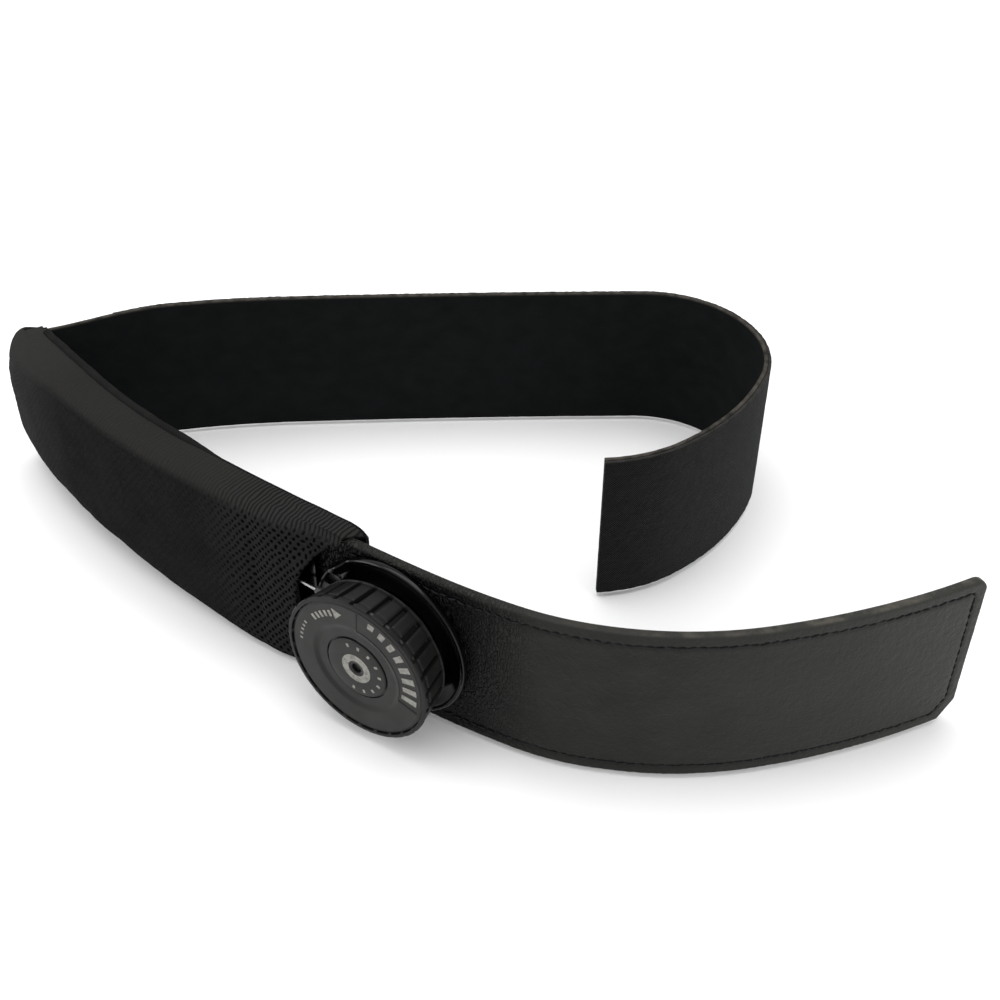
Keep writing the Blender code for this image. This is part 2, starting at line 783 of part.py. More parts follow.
def build_knob_core(frame):
    nylon = material("knob_nylon", (0.018, 0.018, 0.019), 0.45)
    inner = WASHER_RADIUS + 0.4 * MM
    outer = inner + KNOB_HUB_WALL
    rim = GRIP_SEAT - GAP
    profile = [
        (0, PLATE_TOP),
        (rim, PLATE_TOP),
        (rim, PLATE_BASE),
        (outer, PLATE_BASE),
        (outer, RATCHET_TOP + GAP),
        (inner, RATCHET_TOP + GAP),
        (inner, PLATE_BASE),
        (0, PLATE_BASE),
    ]
    turned("knob_core", profile, nylon, frame)


def build_grip(frame):
    rubber = material("grip_rubber", (0.02, 0.02, 0.021), 0.55)
    seat_floor = PLATE_BASE - GAP
    shoulder = GRIP_TOP - BEAD_HEIGHT
    profile = [
        (GRIP_SEAT, GRIP_TOP),
        (DIAL_RADIUS - 0.3 * MM, GRIP_TOP),
        (DIAL_RADIUS, GRIP_TOP - 0.4 * MM),
        (DIAL_RADIUS, shoulder),
        (GRIP_BACK_RADIUS, GRIP_BASE),
        (GRIP_INNER_RADIUS, GRIP_BASE),
        (GRIP_INNER_RADIUS, seat_floor),
        (GRIP_SEAT, seat_floor),
    ]
    grip = turned("knob_grip", profile, rubber, frame, steps=RIB_COUNT * 3, ring=True)
    slots = bmesh.new()
    low = GRIP_BASE - 1 * MM
    lean = math.atan2(DIAL_RADIUS - GRIP_BACK_RADIUS, shoulder - GRIP_BASE)
    for index in range(RIB_COUNT):
        box = bmesh.ops.create_cube(slots, size=1)["verts"]
        depth = 4 * MM
        size = (depth, SLOT_WIDTH, shoulder - low)
        bmesh.ops.scale(slots, vec=size, verts=box)
        middle = (GRIP_BACK_RADIUS + DIAL_RADIUS) / 2 - SLOT_DEPTH + depth / 2
        turn = Matrix.Rotation(2 * math.pi * (index + 0.5) / RIB_COUNT, 4, "Z")
        tilt = Matrix.Rotation(lean, 4, "Y")
        place = Matrix.Translation((middle, 0, (low + shoulder) / 2 - 0.2 * MM))
        bmesh.ops.transform(slots, matrix=turn @ place @ tilt, verts=box)
    mesh = bpy.data.meshes.new("grip_slots")
    slots.to_mesh(mesh)
    slots.free()
    cut(grip, cutter("grip_slots", mesh, frame))


def build_face(frame):
    print_plastic = material("face_plastic", (0.03, 0.03, 0.031), 0.38)
    rim = GRIP_SEAT - GAP
    inner = BADGE_RADIUS + 0.5 * MM
    dish = 0.35 * MM
    profile = [
        (inner, FACE_TOP - dish),
        (rim * 0.62, FACE_TOP - dish),
        (rim * 0.72, FACE_TOP),
        (rim, FACE_TOP),
        (rim, FACE_BASE),
        (inner, FACE_BASE),
    ]
    turned("knob_face", profile, print_plastic, frame, ring=True)


def build_badge(frame):
    badge = material("badge_plastic", (0.05, 0.05, 0.052), 0.4)
    top = FACE_BASE + BADGE_THICKNESS
    profile = [
        (BADGE_HOLE, top),
        (BADGE_RADIUS - 0.3 * MM, top),
        (BADGE_RADIUS, top - 0.3 * MM),
        (BADGE_RADIUS, FACE_BASE),
        (BADGE_HOLE, FACE_BASE),
    ]
    turned("center_badge", profile, badge, frame, steps=40, ring=True)


# ---------------------------------------------------------------- lace, anchor and back strap


def dial_to_world(x, y, h):
    """A point of the reel's own frame, in the belt's frame."""
    point = Vector((math.cos(DIAL_HEADING), math.sin(DIAL_HEADING))) * x
    point += Vector((math.sin(DIAL_HEADING), -math.cos(DIAL_HEADING))) * h
    return point.x, point.y, MID_HEIGHT + y


def lace_route():
    """One wrap on the spool, out along the sleeve, round the anchor's bollard and back to the housing."""
    points = []
    turns = 28
    for index in range(turns + 1):
        angle = math.pi / 2 - WRAP_ANGLE * (1 - index / turns)
        x = WRAP_RADIUS * math.cos(angle)
        y = WRAP_RADIUS * math.sin(angle)
        points.append(dial_to_world(x, y, LACE_HEIGHT))
    leave = -HOUSING_OUTER - GUIDE_LENGTH
    reach = stations(leave - 2 * MM, BOLLARD_S)
    points.append(dial_to_world(-HOUSING_INNER, WRAP_RADIUS, LACE_HEIGHT))
    points.append(dial_to_world(leave, WRAP_RADIUS, LACE_HEIGHT))
    points += [(*BELT.place(s, LACE_HEIGHT), MID_HEIGHT + WRAP_RADIUS) for s in reach[1:-1]]
    for index in range(11):
        angle = math.pi / 2 - math.pi * index / 10
        s = BOLLARD_S - WRAP_RADIUS * math.cos(angle)
        z = MID_HEIGHT + WRAP_RADIUS * math.sin(angle)
        points.append((*BELT.place(s, LACE_HEIGHT), z))
    points += [(*BELT.place(s, LACE_HEIGHT), MID_HEIGHT - WRAP_RADIUS) for s in reach[-2:0:-1]]
    points.append(dial_to_world(leave, -WRAP_RADIUS, LACE_HEIGHT))
    points.append(dial_to_world(-HOUSING_INNER, -WRAP_RADIUS, LACE_HEIGHT))
    return points


def build_lace():
    steel = material("lace_wire", (0.3, 0.3, 0.31), 0.35, 0.8)
    tube("lace", lace_route(), LACE_DIAMETER / 2, steel)


def build_anchor(frame):
    nylon = material("anchor_nylon", (0.03, 0.03, 0.032), 0.5)
    low = ANCHOR_EDGE
    high = STRAP_WIDTH - ANCHOR_EDGE
    half = ANCHOR_THICKNESS / 2
    plate = ribbon("anchor_plate", BELT, (ANCHOR_TIP, ANCHOR_FRONT), -half, half, (low, high), nylon)
    add_bollard(plate)
    add_fold_pin(plate)
    slot_start = FOLD_S - FOLD_ROLL
    slot_end = FOLD_S + FOLD_ROLL + GAP
    along = stations(slot_start, slot_end)
    outline = [BELT.place(s, 3 * MM) for s in along] + [
        BELT.place(s, -3 * MM) for s in reversed(along)
    ]
    slot = slab_mesh([outline], low + ANCHOR_RIM, high - ANCHOR_RIM)
    cut(plate, cutter("anchor_slot", slot))
    pin = pin_shape("fold_pin", low, high)
    cut(plate, cutter("fold_pin", pin), "UNION")
    hang(plate, frame)


def pin_shape(name, low, high):
    form = bmesh.new()
    bmesh.ops.create_cone(
        form,
        cap_ends=True,
        segments=20,
        radius1=FOLD_PIN_RADIUS,
        radius2=FOLD_PIN_RADIUS,
        depth=high - low,
    )
    place = Matrix.Translation((*FOLD_POINT, (low + high) / 2))
    bmesh.ops.transform(form, matrix=place, verts=form.verts)
    mesh = bpy.data.meshes.new(name)
    form.to_mesh(mesh)
    form.free()
    return mesh


def add_bollard(plate):
    """The round boss that the lace runs round."""
    high = LACE_HEIGHT + LACE_DIAMETER / 2
    mesh = slab_mesh([circle(BOLLARD_RADIUS, 28)], 0, high)
    point = BELT.place(BOLLARD_S, 0)
    _, heading = BELT.at(BOLLARD_S)
    turn = Matrix.Rotation(heading, 4, "Z") @ Matrix.Rotation(math.pi / 2, 4, "X")
    mesh.transform(Matrix.Translation((*point, MID_HEIGHT)) @ turn)
    cut(plate, cutter("bollard", mesh), "UNION")


def add_fold_pin(plate):
    """The two ears that carry the fold pin, beyond the slot."""
    half = ANCHOR_THICKNESS / 2
    along = stations(FOLD_S, ANCHOR_TIP + 1 * MM, 1 * MM)
    outline = [BELT.place(s, half) for s in along] + [
        BELT.place(s, -half) for s in reversed(along)
    ]
    mesh = slab_mesh([outline], ANCHOR_EDGE, STRAP_WIDTH - ANCHOR_EDGE)
    cut(plate, cutter("pin_ears", mesh), "UNION")


def build_back_strap(frame):
    webbing = material("strap_webbing", (0.012, 0.012, 0.015), 0.8)
    pile = material("loop_pile", (0.01, 0.01, 0.011), 0.95)
    root_cloth = material("root_webbing", (0.013, 0.013, 0.014), 0.85)
    start = FOLD_ROLL + GAP
    span = (start, STRAP_LENGTH)
    ribbon("back_strap", STRAP, span, 0, STRAP_THICKNESS, (0, STRAP_WIDTH), webbing, frame)
    inset = (PILE_INSET, STRAP_WIDTH - PILE_INSET)
    pile_base = STRAP_THICKNESS + GAP
    pile_span = (start + ROOT_LENGTH, STRAP_LENGTH - PILE_INSET)
    ribbon("loop_pile", STRAP, pile_span, pile_base, pile_base + PILE_THICKNESS, inset, pile, frame)
    build_strap_root(root_cloth, frame)


def build_strap_root(finish, frame):
    """A webbing loop on the fold pin, whose tail is sewn to the strap's outer side."""
    inner = FOLD_PIN_RADIUS + GAP
    outer = FOLD_ROLL
    low = ANCHOR_EDGE + ANCHOR_RIM + GAP
    high = STRAP_WIDTH - low
    ring = slab_mesh([circle_at(outer), circle_at(inner)], low, high)
    loop = add_object("strap_root", ring, finish)
    tail_base = STRAP_THICKNESS + GAP
    tail_top = tail_base + ROOT_THICKNESS
    along = stations(0.8 * MM, ROOT_LENGTH)
    outline = [STRAP.place(s, tail_top) for s in along] + [
        STRAP.place(s, tail_base) for s in reversed(along)
    ]
    tail = slab_mesh([outline], low, high)
    cut(loop, cutter("root_tail", tail), "UNION")
    cut(loop, cutter("root_bore", pin_clearance(inner)))
    hang(loop, frame)


def circle_at(radius):
    return [(x + FOLD_POINT.x, y + FOLD_POINT.y) for x, y in circle(radius, 24)]


def pin_clearance(radius):
    return slab_mesh([circle_at(radius)], -5 * MM, STRAP_WIDTH + 5 * MM)


# ---------------------------------------------------------------- assembly


def center_on_origin():
    """Moves the belt so that the middle of its lower edge's box is the origin."""
    bpy.context.view_layer.update()
    graph = bpy.context.evaluated_depsgraph_get()
    low = Vector((math.inf,) * 3)
    high = Vector((-math.inf,) * 3)
    for obj in BELT_PARTS.objects:
        if obj.type == "EMPTY":
            continue
        evaluated = obj.evaluated_get(graph)
        mesh = evaluated.to_mesh()
        for vertex in mesh.vertices:
            point = evaluated.matrix_world @ vertex.co
            low = Vector(map(min, low, point))
            high = Vector(map(max, high, point))
        evaluated.to_mesh_clear()
    shift = Vector((-(low.x + high.x) / 2, -(low.y + high.y) / 2, -low.z))
    for collection in (BELT_PARTS, CUTTERS):
        for obj in collection.objects:
            if obj.parent is None:
                obj.location += shift


def main():
    upright = Matrix.Rotation(DIAL_HEADING, 4, "Z") @ Matrix.Rotation(math.pi / 2, 4, "X")
    dial = joint_empty("dial_axis", (0, 0, MID_HEIGHT), upright)
    fold = joint_empty("fold_axis", (*FOLD_POINT, 0))
    build_tab()
    build_sleeve(dial)
    build_base(dial)
    build_housing(dial)
    build_guides(dial)
    build_spool(dial)
    build_ratchet(dial)
    build_fasteners(dial)
    build_spring(dial)
    build_knob_core(dial)
    build_grip(dial)
    build_face(dial)
    build_badge(dial)
    build_lace()
    build_anchor(fold)
    build_back_strap(fold)
    center_on_origin()


clear_scene()
BELT_PARTS = new_collection("weight_belt")
CUTTERS = new_collection("cutters", hidden=True)
main()
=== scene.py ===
import json
import math

import bmesh
import bpy
import numpy as np
from mathutils import Matrix, Vector


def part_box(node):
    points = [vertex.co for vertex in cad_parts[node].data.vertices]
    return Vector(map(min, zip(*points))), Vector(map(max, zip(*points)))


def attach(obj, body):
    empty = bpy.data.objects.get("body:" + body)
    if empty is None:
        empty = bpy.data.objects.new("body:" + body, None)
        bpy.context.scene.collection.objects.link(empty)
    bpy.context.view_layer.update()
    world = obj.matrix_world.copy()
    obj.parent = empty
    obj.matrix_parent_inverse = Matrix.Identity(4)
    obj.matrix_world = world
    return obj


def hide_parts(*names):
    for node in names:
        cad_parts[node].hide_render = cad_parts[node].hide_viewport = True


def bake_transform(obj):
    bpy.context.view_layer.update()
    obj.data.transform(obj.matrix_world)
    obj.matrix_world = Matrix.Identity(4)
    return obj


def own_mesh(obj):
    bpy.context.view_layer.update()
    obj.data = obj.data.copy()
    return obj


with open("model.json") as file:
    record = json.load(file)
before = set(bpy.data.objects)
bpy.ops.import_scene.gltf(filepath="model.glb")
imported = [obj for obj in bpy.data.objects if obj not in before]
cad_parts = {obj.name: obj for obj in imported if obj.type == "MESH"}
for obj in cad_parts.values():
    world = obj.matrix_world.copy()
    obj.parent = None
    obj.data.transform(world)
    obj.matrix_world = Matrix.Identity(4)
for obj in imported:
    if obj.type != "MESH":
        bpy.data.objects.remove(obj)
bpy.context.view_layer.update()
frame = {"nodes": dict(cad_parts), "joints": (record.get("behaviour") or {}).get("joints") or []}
NODES = frame["nodes"]
JOINTS = {joint["name"]: joint for joint in frame["joints"]}

MM = 0.001

# Plan of the belt, as in the CAD: arcs of (length in mm, turn in degrees) each way from the dial
DIAL_HEADING = math.radians(-33.0)
TAB_ARCS = [(15, 2), (22, 6), (20, 13), (45, 24), (40, 10), (21, 6)]
SLEEVE_ARCS = [(75, -4), (97, -23.5)]
STRAP_HEADING = math.radians(21.0)
STRAP_ARCS = [(82, -17), (119, -2.5), (69, -114), (46, -32), (24, -32)]

WIDTH = 50.0  # mm, of the leather and the straps
TAB_END = 163.0
TAB_START = -36.0
SLEEVE_MOUTH = -15.0
SLEEVE_END = -165.0
FOLD_S = -170.1
STRAP_START = 5.1
STRAP_END = 340.0
DIAL_FOOT = Vector(JOINTS["dial_turn"]["pos_m"]) / MM
FOLD_POINT = Vector(JOINTS["strap_fold"]["pos_m"]) / MM
LOW = DIAL_FOOT.z - WIDTH / 2  # the straps' lower edge
MID = WIDTH / 2
LACE_RADIUS = 0.5  # mm
LACE_BEND = 7.3  # mm, the lace's radius on the spool and round the anchor
LACE_HEIGHT = 4.0  # mm, of the lace outwards, on the dial and on the belt
HOLE_PITCH = 2.4  # mm, of the open knit near the mouth, along the sleeve and across it
HOLE_ROW = 3.0
RIB_PITCH = 1.3


# ---------------------------------------------------------------- plan lines and noise


def walk(start, heading, arcs, reach, step=0.25):
    """Distances, x, y and headings along arcs from a point, straight on past the last one."""
    turns = [(length, math.radians(turn) / length) for length, turn in arcs] + [(1e9, 0.0)]
    rows = [(0.0, start[0], start[1], heading)]
    x, y = start[0], start[1]
    part, left = 0, turns[0][0]
    for index in range(1, int(reach / step) + 1):
        rate = turns[part][1]
        middle = heading + rate * step / 2
        x += math.cos(middle) * step
        y += math.sin(middle) * step
        heading += rate * step
        left -= step
        if left < step / 2:
            part += 1
            left += turns[part][0]
        rows.append((index * step, x, y, heading))
    return np.array(rows)


class Rail:
    """A plan line with its outward side, looked up for whole arrays of (s, h)."""

    def __init__(self, start, heading, ahead, behind=(), side=1):
        forward = walk(start, heading, ahead, 400)
        rows = forward
        if behind:
            back = walk(start, heading + math.pi, behind, 200)
            back[:, 0] *= -1
            back[:, 3] -= math.pi
            rows = np.concatenate([back[:0:-1], forward])
        self.s, self.x, self.y, self.heading = rows.T
        self.side = side

    def place(self, s, h, z):
        """World points in metres of arrays of belt coordinates in mm."""
        heading = np.interp(s, self.s, self.heading)
        x = np.interp(s, self.s, self.x) + np.sin(heading) * h * self.side
        y = np.interp(s, self.s, self.y) - np.cos(heading) * h * self.side
        return np.stack([x, y, z + LOW + 0 * x], -1) * MM


BELT = Rail(DIAL_FOOT, DIAL_HEADING, TAB_ARCS, SLEEVE_ARCS)
STRAP = Rail(FOLD_POINT, STRAP_HEADING, STRAP_ARCS, side=-1)


def noise(x, y, size, seed):
    """Smooth value noise from -1 to 1 with cells of a size, the same in every run."""
    table = np.random.default_rng(seed).uniform(-1, 1, (256, 256))
    u, v = x / size, y / size
    i, j = np.floor(u).astype(int), np.floor(v).astype(int)
    a, b = u - i, v - j
    a, b = a * a * (3 - 2 * a), b * b * (3 - 2 * b)

    def corner(p, q):
        return table[(i + p) % 256, (j + q) % 256]

    low = corner(0, 0) * (1 - a) + corner(1, 0) * a
    high = corner(0, 1) * (1 - a) + corner(1, 1) * a
    return low * (1 - b) + high * b


def smooth(x, low, high):
    """0 below low, 1 above high, smooth between. It also runs the other way."""
    t = np.clip((x - low) / (high - low), 0, 1)
    return t * t * (3 - 2 * t)


# ---------------------------------------------------------------- mesh helpers


def new_object(name, points, faces, finish, coords=None, sharp=40):
    mesh = bpy.data.meshes.new(name)
    mesh.from_pydata(points.reshape(-1, 3).tolist(), [], faces)
    if coords is not None:
        layer = mesh.attributes.new("cloth", "FLOAT_VECTOR", "POINT")
        layer.data.foreach_set("vector", coords.reshape(-1).astype(np.float32))
    form = bmesh.new()
    form.from_mesh(mesh)
    bmesh.ops.recalc_face_normals(form, faces=form.faces)
    form.to_mesh(mesh)
    form.free()
    mesh.shade_smooth()
    if sharp:
        mesh.set_sharp_from_angle(angle=math.radians(sharp))
    mesh.materials.append(finish)
    obj = bpy.data.objects.new(name, mesh)
    bpy.context.scene.collection.objects.link(obj)
    return obj


def grid_faces(rows, cols, wrap_rows=False, caps=True):
    """Quads of a grid whose columns close on themselves, with its two end rows filled."""
    index = np.arange(rows * cols).reshape(rows, cols)
    after = np.roll(index, -1, axis=1)
    if wrap_rows:
        first, second = index, np.roll(index, -1, axis=0)
        faces = np.stack([first, second, np.roll(second, -1, axis=1), after], -1)
        return faces.reshape(-1, 4).tolist()
    faces = np.stack([index[:-1], index[1:], after[1:], after[:-1]], -1)
    faces = faces.reshape(-1, 4).tolist()
    if caps:
        faces += [index[0].tolist(), index[-1, ::-1].tolist()]
    return faces


def section_of(corners, arc_count=6):
    """A rounded polygon (h, z) from corners (h, z, radius, step); the step is that of the edge after it."""
    corners = [np.array(corner, float) for corner in corners]
    arcs = []
    for index, corner in enumerate(corners):
        point, radius = corner[:2], corner[2]
        back = corners[index - 1][:2] - point
        ahead = corners[(index + 1) % len(corners)][:2] - point
        back /= np.linalg.norm(back)
        ahead /= np.linalg.norm(ahead)
        half = math.acos(max(-1.0, min(1.0, float(back @ ahead)))) / 2
        if radius <= 0 or half > math.radians(88):
            arcs.append(point[None])
            continue
        reach = radius / math.tan(half)
        toward = (back + ahead) / np.linalg.norm(back + ahead)
        center = point + toward * radius / math.sin(half)
        first = (point + back * reach - center) / radius
        last = (point + ahead * reach - center) / radius
        sweep = math.acos(max(-1.0, min(1.0, float(first @ last))))
        t = np.linspace(0, 1, arc_count + 1)[:, None]
        arcs.append(center + radius * (np.sin((1 - t) * sweep) * first + np.sin(t * sweep) * last)
                    / math.sin(sweep))
    points = []
    for index, arc in enumerate(arcs):
        points.append(arc)
        start, end = arc[-1], arcs[(index + 1) % len(arcs)][0]
        count = max(1, int(np.linalg.norm(end - start) / corners[index][3]))
        t = np.arange(1, count)[:, None] / count
        points.append(start + (end - start) * t)
    return np.concatenate(points)


def along_outline(section):
    steps = np.linalg.norm(np.diff(section, axis=0), axis=1)
    return np.concatenate([[0], np.cumsum(steps)])


def section_normals(section):
    """Unit normals of a closed outline. They point outwards for corners given clockwise in (h, z)."""
    tangent = np.roll(section, -1, axis=0) - np.roll(section, 1, axis=0)
    normal = np.stack([-tangent[:, 1], tangent[:, 0]], -1)
    return normal / np.maximum(np.linalg.norm(normal, axis=1, keepdims=True), 1e-9)


def sweep(name, rail, distances, section, finish, relief=None, shape=None, warp=None, sharp=40, uneven=0.0):
    """A closed section (h, z) swept along a rail. relief(s, v, h, z) moves the surface outwards,
    shape(s, h, z) gives new (h, z), and warp(s, h, z) gives new distances. uneven
    (mm) makes the weave's own coordinates wander."""
    v = along_outline(section)
    normal = section_normals(section)
    s = np.repeat(np.asarray(distances, float)[:, None], len(section), axis=1)
    h = np.repeat(section[None, :, 0], len(s), axis=0)
    z = np.repeat(section[None, :, 1], len(s), axis=0)
    if warp:
        s = warp(s, h, z)
    around = np.repeat(v[None], len(s), axis=0)
    s_cloth = s + uneven * noise(s, around, 2.3, 91)
    around = around + uneven * noise(s, around, 2.6, 92)
    raised = relief(s_cloth, around, h, z) if relief else 0
    h0, z0 = h + normal[:, 0] * raised, z + normal[:, 1] * raised
    if shape:
        h0, z0 = shape(s, h0, z0)
    coords = np.stack([s_cloth, around, z], -1) * MM
    faces = grid_faces(len(s), len(section))
    return new_object(name, rail.place(s, h0, z0), faces, finish, coords, sharp)


DIAL = (Matrix.Translation(DIAL_FOOT * MM) @ Matrix.Rotation(DIAL_HEADING, 4, "Z")
        @ Matrix.Rotation(math.pi / 2, 4, "X"))


def on_dial(points):
    """Points (x, y, height) in mm in the dial's own frame, in world metres."""
    turn = np.array(DIAL)[:3]
    return points * MM @ turn[:, :3].T + turn[:, 3]


def polar_piece(name, angles, profile, finish, relief=None, sharp=35):
    """A ring about the dial's axis: a closed profile (radius, height), changed by relief(angle, ...)."""
    a = np.repeat(np.asarray(angles)[:, None], len(profile), axis=1)
    r = np.repeat(profile[None, :, 0], len(a), axis=0)
    h = np.repeat(profile[None, :, 1], len(a), axis=0)
    if relief:
        r, h = relief(a, r, h)
    points = np.stack([r * np.cos(a), r * np.sin(a), h], -1)
    faces = grid_faces(len(a), len(profile), wrap_rows=True)
    coords = np.stack([a * r, r, h], -1) * MM
    return new_object(name, on_dial(points), faces, finish, coords, sharp)


def circle_angles(count):
    return np.linspace(0, 2 * math.pi, count, endpoint=False)


def merged(name, parts, finish, sharp=40):
    """One object from several (points, faces)."""
    points, faces, base = [], [], 0
    for some, quads in parts:
        points.append(some)
        faces += [[i + base for i in quad] for quad in quads]
        base += len(some)
    return new_object(name, np.concatenate(points), faces, finish, sharp=sharp)


def tube(points, radii, sides=8):
    """(points, faces) of a closed tube along points in metres, with a radius in metres at each."""
    points = np.asarray(points, float)
    tangent = np.gradient(points, axis=0)
    tangent /= np.linalg.norm(tangent, axis=1, keepdims=True)
    up = np.array([0.0, 0.0, 1.0])
    if abs(tangent[0] @ up) > 0.9:
        up = np.array([1.0, 0.0, 0.0])
    rings = []
    for point, along, radius in zip(points, tangent, radii):
        across = np.cross(along, up)
        across /= np.linalg.norm(across)
        up = np.cross(across, along)
        angle = circle_angles(sides)[:, None]
        rings.append(point + radius * (np.cos(angle) * across + np.sin(angle) * up))
    return np.concatenate(rings), grid_faces(len(points), sides)


# ---------------------------------------------------------------- materials


class Finish:
    """A Principled material whose nodes are added one call at a time."""

    def __init__(self, name, roughness=0.6, specular=0.3, **sockets):
        self.material = bpy.data.materials.new(name)
        self.material.use_nodes = True
        self.tree = self.material.node_tree
        self.shader = self.tree.nodes["Principled BSDF"]
        self.shader.inputs["Roughness"].default_value = roughness
        self.shader.inputs["Specular IOR Level"].default_value = specular
        for key, value in sockets.items():
            self.shader.inputs[key.replace("_", " ").title()].default_value = value

    def node(self, kind, inputs=(), **settings):
        made = self.tree.nodes.new("ShaderNode" + kind)
        for key, value in settings.items():
            setattr(made, key, value)
        for key, value in dict(inputs).items():
            if isinstance(value, bpy.types.NodeSocket):
                self.tree.links.new(value, made.inputs[key])
            else:
                made.inputs[key].default_value = value
        return made

    def cloth(self):
        return self.node("Attribute", attribute_name="cloth").outputs["Vector"]

    def place(self):
        return self.node("TexCoord").outputs["Object"]

    def math(self, operation, a, b=0.0, c=0.0):
        return self.node("Math", {0: a, 1: b, 2: c}, operation=operation).outputs[0]

    def split(self, vector):
        return self.node("SeparateXYZ", {0: vector}).outputs

    def noise(self, vector, scale, detail=3.0, rough=0.55):
        inputs = {"Vector": vector, "Scale": scale, "Detail": detail, "Roughness": rough}
        return self.node("TexNoise", inputs).outputs["Fac"]

    def cells(self, vector, scale, feature="F1"):
        inputs = {"Vector": vector, "Scale": scale}
        return self.node("TexVoronoi", inputs, feature=feature).outputs["Distance"]

    def stretched(self, vector, scale):
        return self.node("Mapping", {"Vector": vector, "Scale": scale}).outputs[0]

    def ramp(self, value, *stops):
        made = self.node("ValToRGB", {0: value})
        elements = made.color_ramp.elements
        while len(elements) < len(stops):
            elements.new(0.5)
        for element, (place, color) in zip(elements, stops):
            element.position = place
            element.color = (*color, 1)
        return made.outputs[0]

    def between(self, value, low, high):
        inputs = {"Value": value, "From Min": low, "From Max": high}
        return self.node("MapRange", inputs, clamp=True).outputs[0]

    def mix(self, factor, a, b):
        made = self.node("Mix", data_type="RGBA")
        for socket, value in ((0, factor), (6, a), (7, b)):
            if isinstance(value, bpy.types.NodeSocket):
                self.tree.links.new(value, made.inputs[socket])
            elif socket:
                made.inputs[socket].default_value = (*value, 1)
            else:
                made.inputs[socket].default_value = value
        return made.outputs[2]

    def bump(self, height, distance, strength=1.0):
        inputs = {"Height": height, "Distance": distance, "Strength": strength}
        if self.shader.inputs["Normal"].is_linked:
            inputs["Normal"] = self.shader.inputs["Normal"].links[0].from_socket
        out = self.node("Bump", inputs).outputs[0]
        self.tree.links.new(out, self.shader.inputs["Normal"])

    def color(self, value):
        self.tree.links.new(value, self.shader.inputs["Base Color"])

    def roughness(self, value):
        self.tree.links.new(value, self.shader.inputs["Roughness"])


def grey(level, warm=0.0):
    return (level * (1 + warm), level, level * (1 - warm))


def knit_material(name, thread, hole_shade, hole_start, fleck_and_top_highlight):
    """The cover's knit: staggered holes that fade into a closed knit, and ribs over the top. The holes and
    the grooves between the ribs hold painted shade, the ribbed top band is painted lighter as a painted
    highlight, and the far end is painted lighter as painted light.
    """
    finish = Finish(name, 0.95, 0.03)
    vector = finish.cloth()
    s, v, z = finish.split(vector)
    across = finish.math("MULTIPLY", s, 2 * math.pi / HOLE_PITCH / MM)
    along = finish.math("MULTIPLY", v, 2 * math.pi / HOLE_ROW / MM)
    cells = finish.math("MULTIPLY", finish.math("COSINE", across), finish.math("COSINE", along))
    uneven = finish.math("MULTIPLY_ADD", finish.noise(vector, 420.0, 2.0), 2.2, 0.0)
    rib = finish.math("ADD", finish.math("MULTIPLY", s, 2 * math.pi / RIB_PITCH / MM), uneven)
    open_knit = finish.between(s, hole_start * MM, (hole_start + 18) * MM)
    ribs = finish.between(z, 48.4 * MM, 50.4 * MM)
    # Painted shade: the knit's holes and the grooves between the top ribs are painted dark, darker where the
    # open knit is.
    pattern = finish.mix(ribs, finish.between(cells, 0.22, 0.6),
                         finish.math("MULTIPLY", finish.between(finish.math("COSINE", rib), -0.2, 1.0), 0.7))
    depth = finish.math("MULTIPLY_ADD", open_knit, 0.75, 0.25)
    dark = finish.math("MULTIPLY", pattern, depth)
    mottle = finish.noise(vector, 90.0, 4.0)
    body = finish.ramp(mottle, (0.3, thread), (0.75, [c * 1.6 for c in thread]))
    # Painted light: the knit is painted lighter towards the sleeve's far end, where light from the left falls
    # on it.
    far = finish.between(s, -125 * MM, -168 * MM)
    body = finish.mix(far, body, [c * 3.4 for c in thread])
    body = finish.mix(finish.math("MULTIPLY", open_knit, 0.85), body, [c * 2.6 for c in thread])
    # Painted highlight: the ribbed top band is painted lighter, as if lit from above. The same tone also
    # flecks random threads just below.
    body = finish.mix(finish.math("MULTIPLY", ribs, 0.6), body, fleck_and_top_highlight)
    thread_light = finish.between(finish.noise(vector, 1100.0, 3.0), 0.5, 0.8)
    body = finish.mix(finish.math("MULTIPLY", thread_light, 0.4), body, fleck_and_top_highlight)
    # The painted shade colour goes into the holes and rib grooves here.
    finish.color(finish.mix(dark, body, hole_shade))
    fuzz = finish.noise(vector, 2600.0, 2.0)
    finish.bump(finish.math("MULTIPLY_ADD", dark, -1.0, fuzz), 0.00025, 0.8)
    return finish.material


def cloth_material(name, low, high, pitch, roughness=0.95, specular=0.03, depth=0.0001, edge=None, sheen=0.0):
    """A fine plain weave with mottling. edge gives a lighter colour to worn cut edges."""
    finish = Finish(name, roughness, specular, sheen_weight=sheen, sheen_roughness=0.5)
    vector = finish.cloth()
    s, v, z = finish.split(vector)
    turn = 2 * math.pi / pitch / MM
    warp = finish.math("SINE", finish.math("MULTIPLY", s, turn))
    weft = finish.math("SINE", finish.math("MULTIPLY", v, turn))
    weave = finish.math("MULTIPLY", warp, weft)
    mottle = finish.noise(vector, 140.0, 5.0)
    color = finish.ramp(mottle, (0.3, low), (0.72, high))
    color = finish.mix(finish.between(weave, 1.4, -1.0), color, [c * 0.45 for c in low])
    if edge:
        rim = finish.between(z, (WIDTH - 0.9) * MM, (WIDTH - 0.2) * MM)
        worn = finish.math("MULTIPLY", rim, finish.between(finish.noise(vector, 300.0), 0.25, 0.6))
        color = finish.mix(worn, color, edge)
    finish.color(color)
    finish.bump(finish.math("MULTIPLY_ADD", weave, 0.5, mottle), depth, 0.7)
    return finish.material


